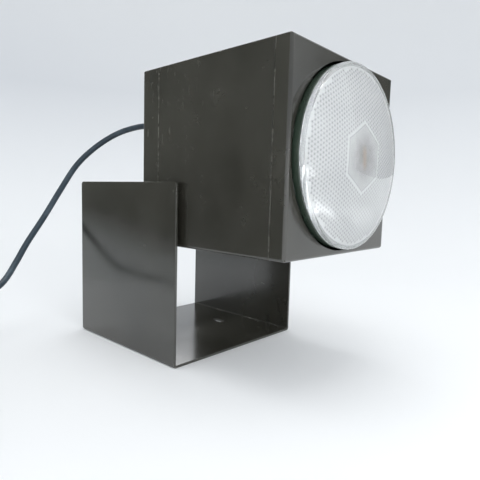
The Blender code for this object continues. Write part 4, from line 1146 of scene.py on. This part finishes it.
def make_gland():
    """The gland with its fluted collar and threaded barrel, its nut, and the slotted boot."""
    into = axis_frame((0, 0, CABLE_HEIGHT))
    bore, face, mouth = 3.05, BACK_Y / MM + 0.3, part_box("cable_gland")[0].y / MM
    collar = [(8.8, 0, 0), (9, 0.2, 0.5), (9, 2.0, 0.5), (8.7, 2.5, 0.2), (8.0, 2.9, 0), (7.2, 3.0, 0),
              (3.4, 3.0, 0), (bore, 2.7, 0), (bore, mouth - face, 0)]
    rings = thread(into, 6, mouth, face, 1.5, 96, False)
    rings += fluted(into, [(r, face + up, dip) for r, up, dip in collar], 16, 96)
    place(new_object("gland_collar", loft(rings, closed=True), 40), "housing", "black_nylon", "cable_gland")
    item = nut("gland_hexagon", 16, 6.1, span("cable_gland_nut", 1),
               (0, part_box("cable_gland_nut")[1].y, CABLE_HEIGHT), (0, -1, 0))
    place(item, "housing", "black_nylon", "cable_gland_nut")
    start, end = (corner.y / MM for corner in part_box("cord_strain_relief"))
    rings = [around(into, r, start + up, 48) for r, up in ((bore, 0), (6.2, 0), (6.4, 0.2), (6.1, 2.6))]
    grooves, length = 8, end - start - 3.4
    for number in range(grooves):
        for share, deep in ((0.0, 0), (0.45, 0), (0.52, 1), (0.93, 1)):
            along = (number + share) / grooves * length
            radius = 6.0 - 2.0 * along / length

            def slotted(angle):
                window = 2.2 * abs(math.cos(angle + math.pi / 2 * (number % 2))) - 0.5
                return radius - deep * min(1.0, max(0.0, window)) * (radius - bore) * 0.72

            rings.append(around(into, slotted, start + 3 + along, 48))
    rings += [around(into, r, along, 48) for r, along in ((4, end - 0.3), (3.7, end), (bore, end))]
    boot = new_object("slotted_boot", loft(rings, closed=True), 40)
    place(boot, "housing", "black_nylon", "cord_strain_relief")


# ---- plug

PLUG_BODY = [
    (5.5, 19.6, 0), (7.2, 21.4, 0), (10.0, 24, 0), (12, 26, 0.3), (13.9, 29, 0.9), (15.5, 33, 1.2),
    (16.9, 38, 1.2), (17.8, 42, 1.0), (17.8, 48, 0.8), (17.9, 49.5, 0), (18, 50, 0), (18, 54.2, 0),
    (17.6, 54.8, 0), (17.0, 55, 0), (0.3, 55, 0),
]
PLUG_PIN = [(0, 0), (2.4, 0), (2.4, 1.2), (2.2, 1.5), (2.2, 2.2), (2.4, 2.5), (2.4, 16.6),
            (2.25, 17.8), (1.8, 18.6), (1.1, 19.0), (0, 19)]


def make_plug():
    """A moulded round mains plug with a ribbed boot, a fluted grip, two pins and two earth strips."""
    heading = Vector((math.sin(TAIL_ANGLE), -math.cos(TAIL_ANGLE), 0))
    side = Vector((-heading.y, heading.x, 0))
    centre = (COIL_LOW + COIL_HIGH) / 2
    leave = Vector((centre.x, centre.y, PLUG_HEIGHT))
    leave += 41.7 * MM * Vector((math.cos(TAIL_ANGLE), math.sin(TAIL_ANGLE), 0))

    rows = [(0.3, 0, 0), (3.2, 0, 0), (3.6, 0.4, 0)]
    for start in [1.4 + 3.0 * number for number in range(6)]:
        for share, cut_in in ((0.0, 0), (1.3, 0), (1.6, 0.75), (2.6, 0.75)):
            rows.append((3.65 + 0.092 * (start + share) - cut_in, start + share, 0))
    into = axis_frame(leave + heading * 37 * MM, heading)
    shell = new_object("plug_shell", loft(fluted(into, rows + PLUG_BODY, 24)), 40)
    face = leave + heading * 92 * MM
    upright = Matrix(((side.x, 0, heading.x, face.x), (side.y, 0, heading.y, face.y),
                      (0, 1, 0, face.z), (0, 0, 0, 1)))
    pockets = []
    for label, degrees in (("upper", 0), ("lower", 180)):
        turn = upright @ Matrix.Rotation(math.radians(degrees), 4, "Z") @ Matrix.Scale(MM, 4)
        pocket = block((-3.4, 15.4, -11.4), (3.4, 21, 3))
        pocket.data.transform(turn)
        pockets.append(pocket)
        rings = []
        for z, out in ((-11, 15.8), (-9, 16.0), (-6, 16.3), (-3, 16.3), (-1, 16.05), (0, 15.8)):
            rings.append([turn @ Vector(p) for p in
                          ((-3, out, z), (3, out, z), (3, out + 0.7, z), (-3, out + 0.7, z))])
        strip = new_object(f"earth_strip_{label}", loft(rings))
        soften(strip, 0.15)
        place(strip, "root", "brass", f"plug_earth_{label}")
    carve(shell, *pockets)
    place(shell, "root", "plug_plastic", "plug_body")
    for label, sign in (("left", -1), ("right", 1)):
        start = face + (heading * 0.3 + side * sign * 9.5) * MM
        pin = turned(f"plug_prong_{label}", PLUG_PIN, start, heading, 48)
        place(pin, "root", "brass", f"plug_pin_{label}")


# ---- stage and light

def make_stage():
    """A pale seamless bowl: a flat floor under the object that curves up all round it, with painted shade on its
    wall.
    """
    m = Shader("stage_floor", Roughness=0.8, Specular_IOR_Level=0.0)
    pale = m.colour(m.noise(3, 2, 0.5), (0.880, 0.890, 0.895), (0.895, 0.905, 0.910))
    # painted shade: the wall darkens up from the floor, most at half a metre high, and more towards -X
    painted_wall_shade = m.times(m.spread(m.axis("Z"), 0.03, 0.50), m.spread(m.axis("Z"), 0.50, 1.10, 1.0, 0.25),
                   m.spread(m.axis("X"), 1.2, -0.4, 0.50, 1.0))
    circle = arc(0, 360, 96)[:-1]
    rings = [[(0, 0, 0)]]
    for out in [1.95 * k / 20 for k in range(21)]:
        rings.append([((0.45 + out) * c, (0.45 + out) * s, 0.60 * out**2) for c, s in circle])
    bowl = new_object("stage_bowl", loft(rings, capped=False), 60)
    bowl.data.materials.append(m.done(m.colour(painted_wall_shade, pale, (0.640, 0.660, 0.690))))


def area_light(name, spot, target, size, power):
    data = bpy.data.lights.new(name, "AREA")
    data.shape = "RECTANGLE"
    data.size, data.size_y = size
    data.energy = power
    item = bpy.data.objects.new(name, data)
    item.location = spot
    item.rotation_mode = "QUATERNION"
    item.rotation_quaternion = (Vector(target) - Vector(spot)).to_track_quat("-Z", "Y")
    item.visible_camera = False
    bpy.context.collection.objects.link(item)
    return item


def make_light():
    """A pale room, a soft light above, a fill from the front, a box behind that shows only in mirrors and a small
    box in front for highlights.
    """
    world = bpy.data.worlds.new("studio")
    bpy.context.scene.world = world
    world.use_nodes = True
    world.node_tree.nodes["Background"].inputs[0].default_value = (0.94, 0.97, 1.0, 1)
    world.node_tree.nodes["Background"].inputs[1].default_value = 0.83
    area_light("overhead", (-0.10, -0.05, 1.6), (0, -0.05, 0.05), (0.9, 0.9), 6.5)
    fill = area_light("front_fill", (-0.29, -1.00, 0.52), (0, -0.16, 0.17), (0.7, 0.4), 4.6)
    fill.visible_glossy = False
    back = area_light("back_box", (0.62, 1.15, 0.75), (0, -0.05, 0.05), (1.3, 0.6), 6.0)
    back.visible_diffuse = False
    area_light("front_box", (0.30, -0.95, 0.62), (0, -0.16, 0.19), (0.10, 0.22), 0.30)


def reflection_card(name, start, end, shade, centre, reach, dark, fade, slope):
    """An upright card that only reflections see, its colour a painted reflection: darkest low down and
    at one X, and paler to both sides in soft streaks. Its foot fades into the floor."""
    m = Shader(name + "_painted_reflection", Roughness=0.9, Specular_IOR_Level=0.1)
    beside = m.math("SUBTRACT", m.axis("X"), centre)
    share = m.math("ADD", m.spread(m.math("ABSOLUTE", beside), 0, reach),
                   m.cloud(9, 3, 0.6, 0.3, 0.7, -0.25, 0.25, (1, 1, 0.25)))
    share = m.math("ADD", share, m.spread(m.axis("Z"), *dark, -0.6, 0))
    # painted reflection: these tones are what the lacquer and glass reflect, and the pale foot their reflection of
    # the floor
    paint = m.colour(m.spread(share, 0, 1), tuple(0.35 * c for c in shade), shade)
    above = m.math("SUBTRACT", m.axis("Z"), m.times(beside, slope))
    paint = m.colour(m.spread(above, *fade, 1, 0), paint, (0.80, 0.82, 0.82))
    corners = [(*start, 0.0), (*end, 0.0), (*end, 0.75), (*start, 0.75)]
    mesh_data = bmesh.new()
    mesh_data.faces.new([mesh_data.verts.new(p) for p in corners])
    card = new_object(name, mesh_data)
    card.data.materials.append(m.done(paint))
    card.visible_camera = False
    card.visible_diffuse = False
    card.visible_shadow = False
    card.visible_transmission = False


def make_cards():
    """Dark cards that paint the reflection of the dark room behind the camera into the lacquer and glass."""
    reflection_card("stage_card_left", (-0.46, -0.05), (-0.05, 0.47), (0.44, 0.44, 0.39),
                    -0.30, 0.13, (0.10, 0.20), (0.0, 0.05), 0.55)
    reflection_card("stage_card_front", (0.721, -0.665), (1.015, -0.115), (0.34, 0.34, 0.33),
                    0.84, 0.16, (0.22, 0.50), (0.0, 0.16), 0.0)


# ---- build

def build():
    make_camera()
    cord, path = make_cord()
    make_stage()
    make_light()
    make_cards()
    for part in frame["record"]["subparts"]:
        materials = frame["nodes"][part["node"]].data.materials
        materials.clear()
        materials.append(FINISH[part["material_slot"]])
    for make in (make_yoke, make_body, make_front_cap, make_rear_cap, make_lens, make_bowl, make_filament,
                 make_lamp_base, make_tie, make_screws, make_pivots, make_holder, make_strap, make_wires,
                 make_gland, make_plug):
        make()


build()
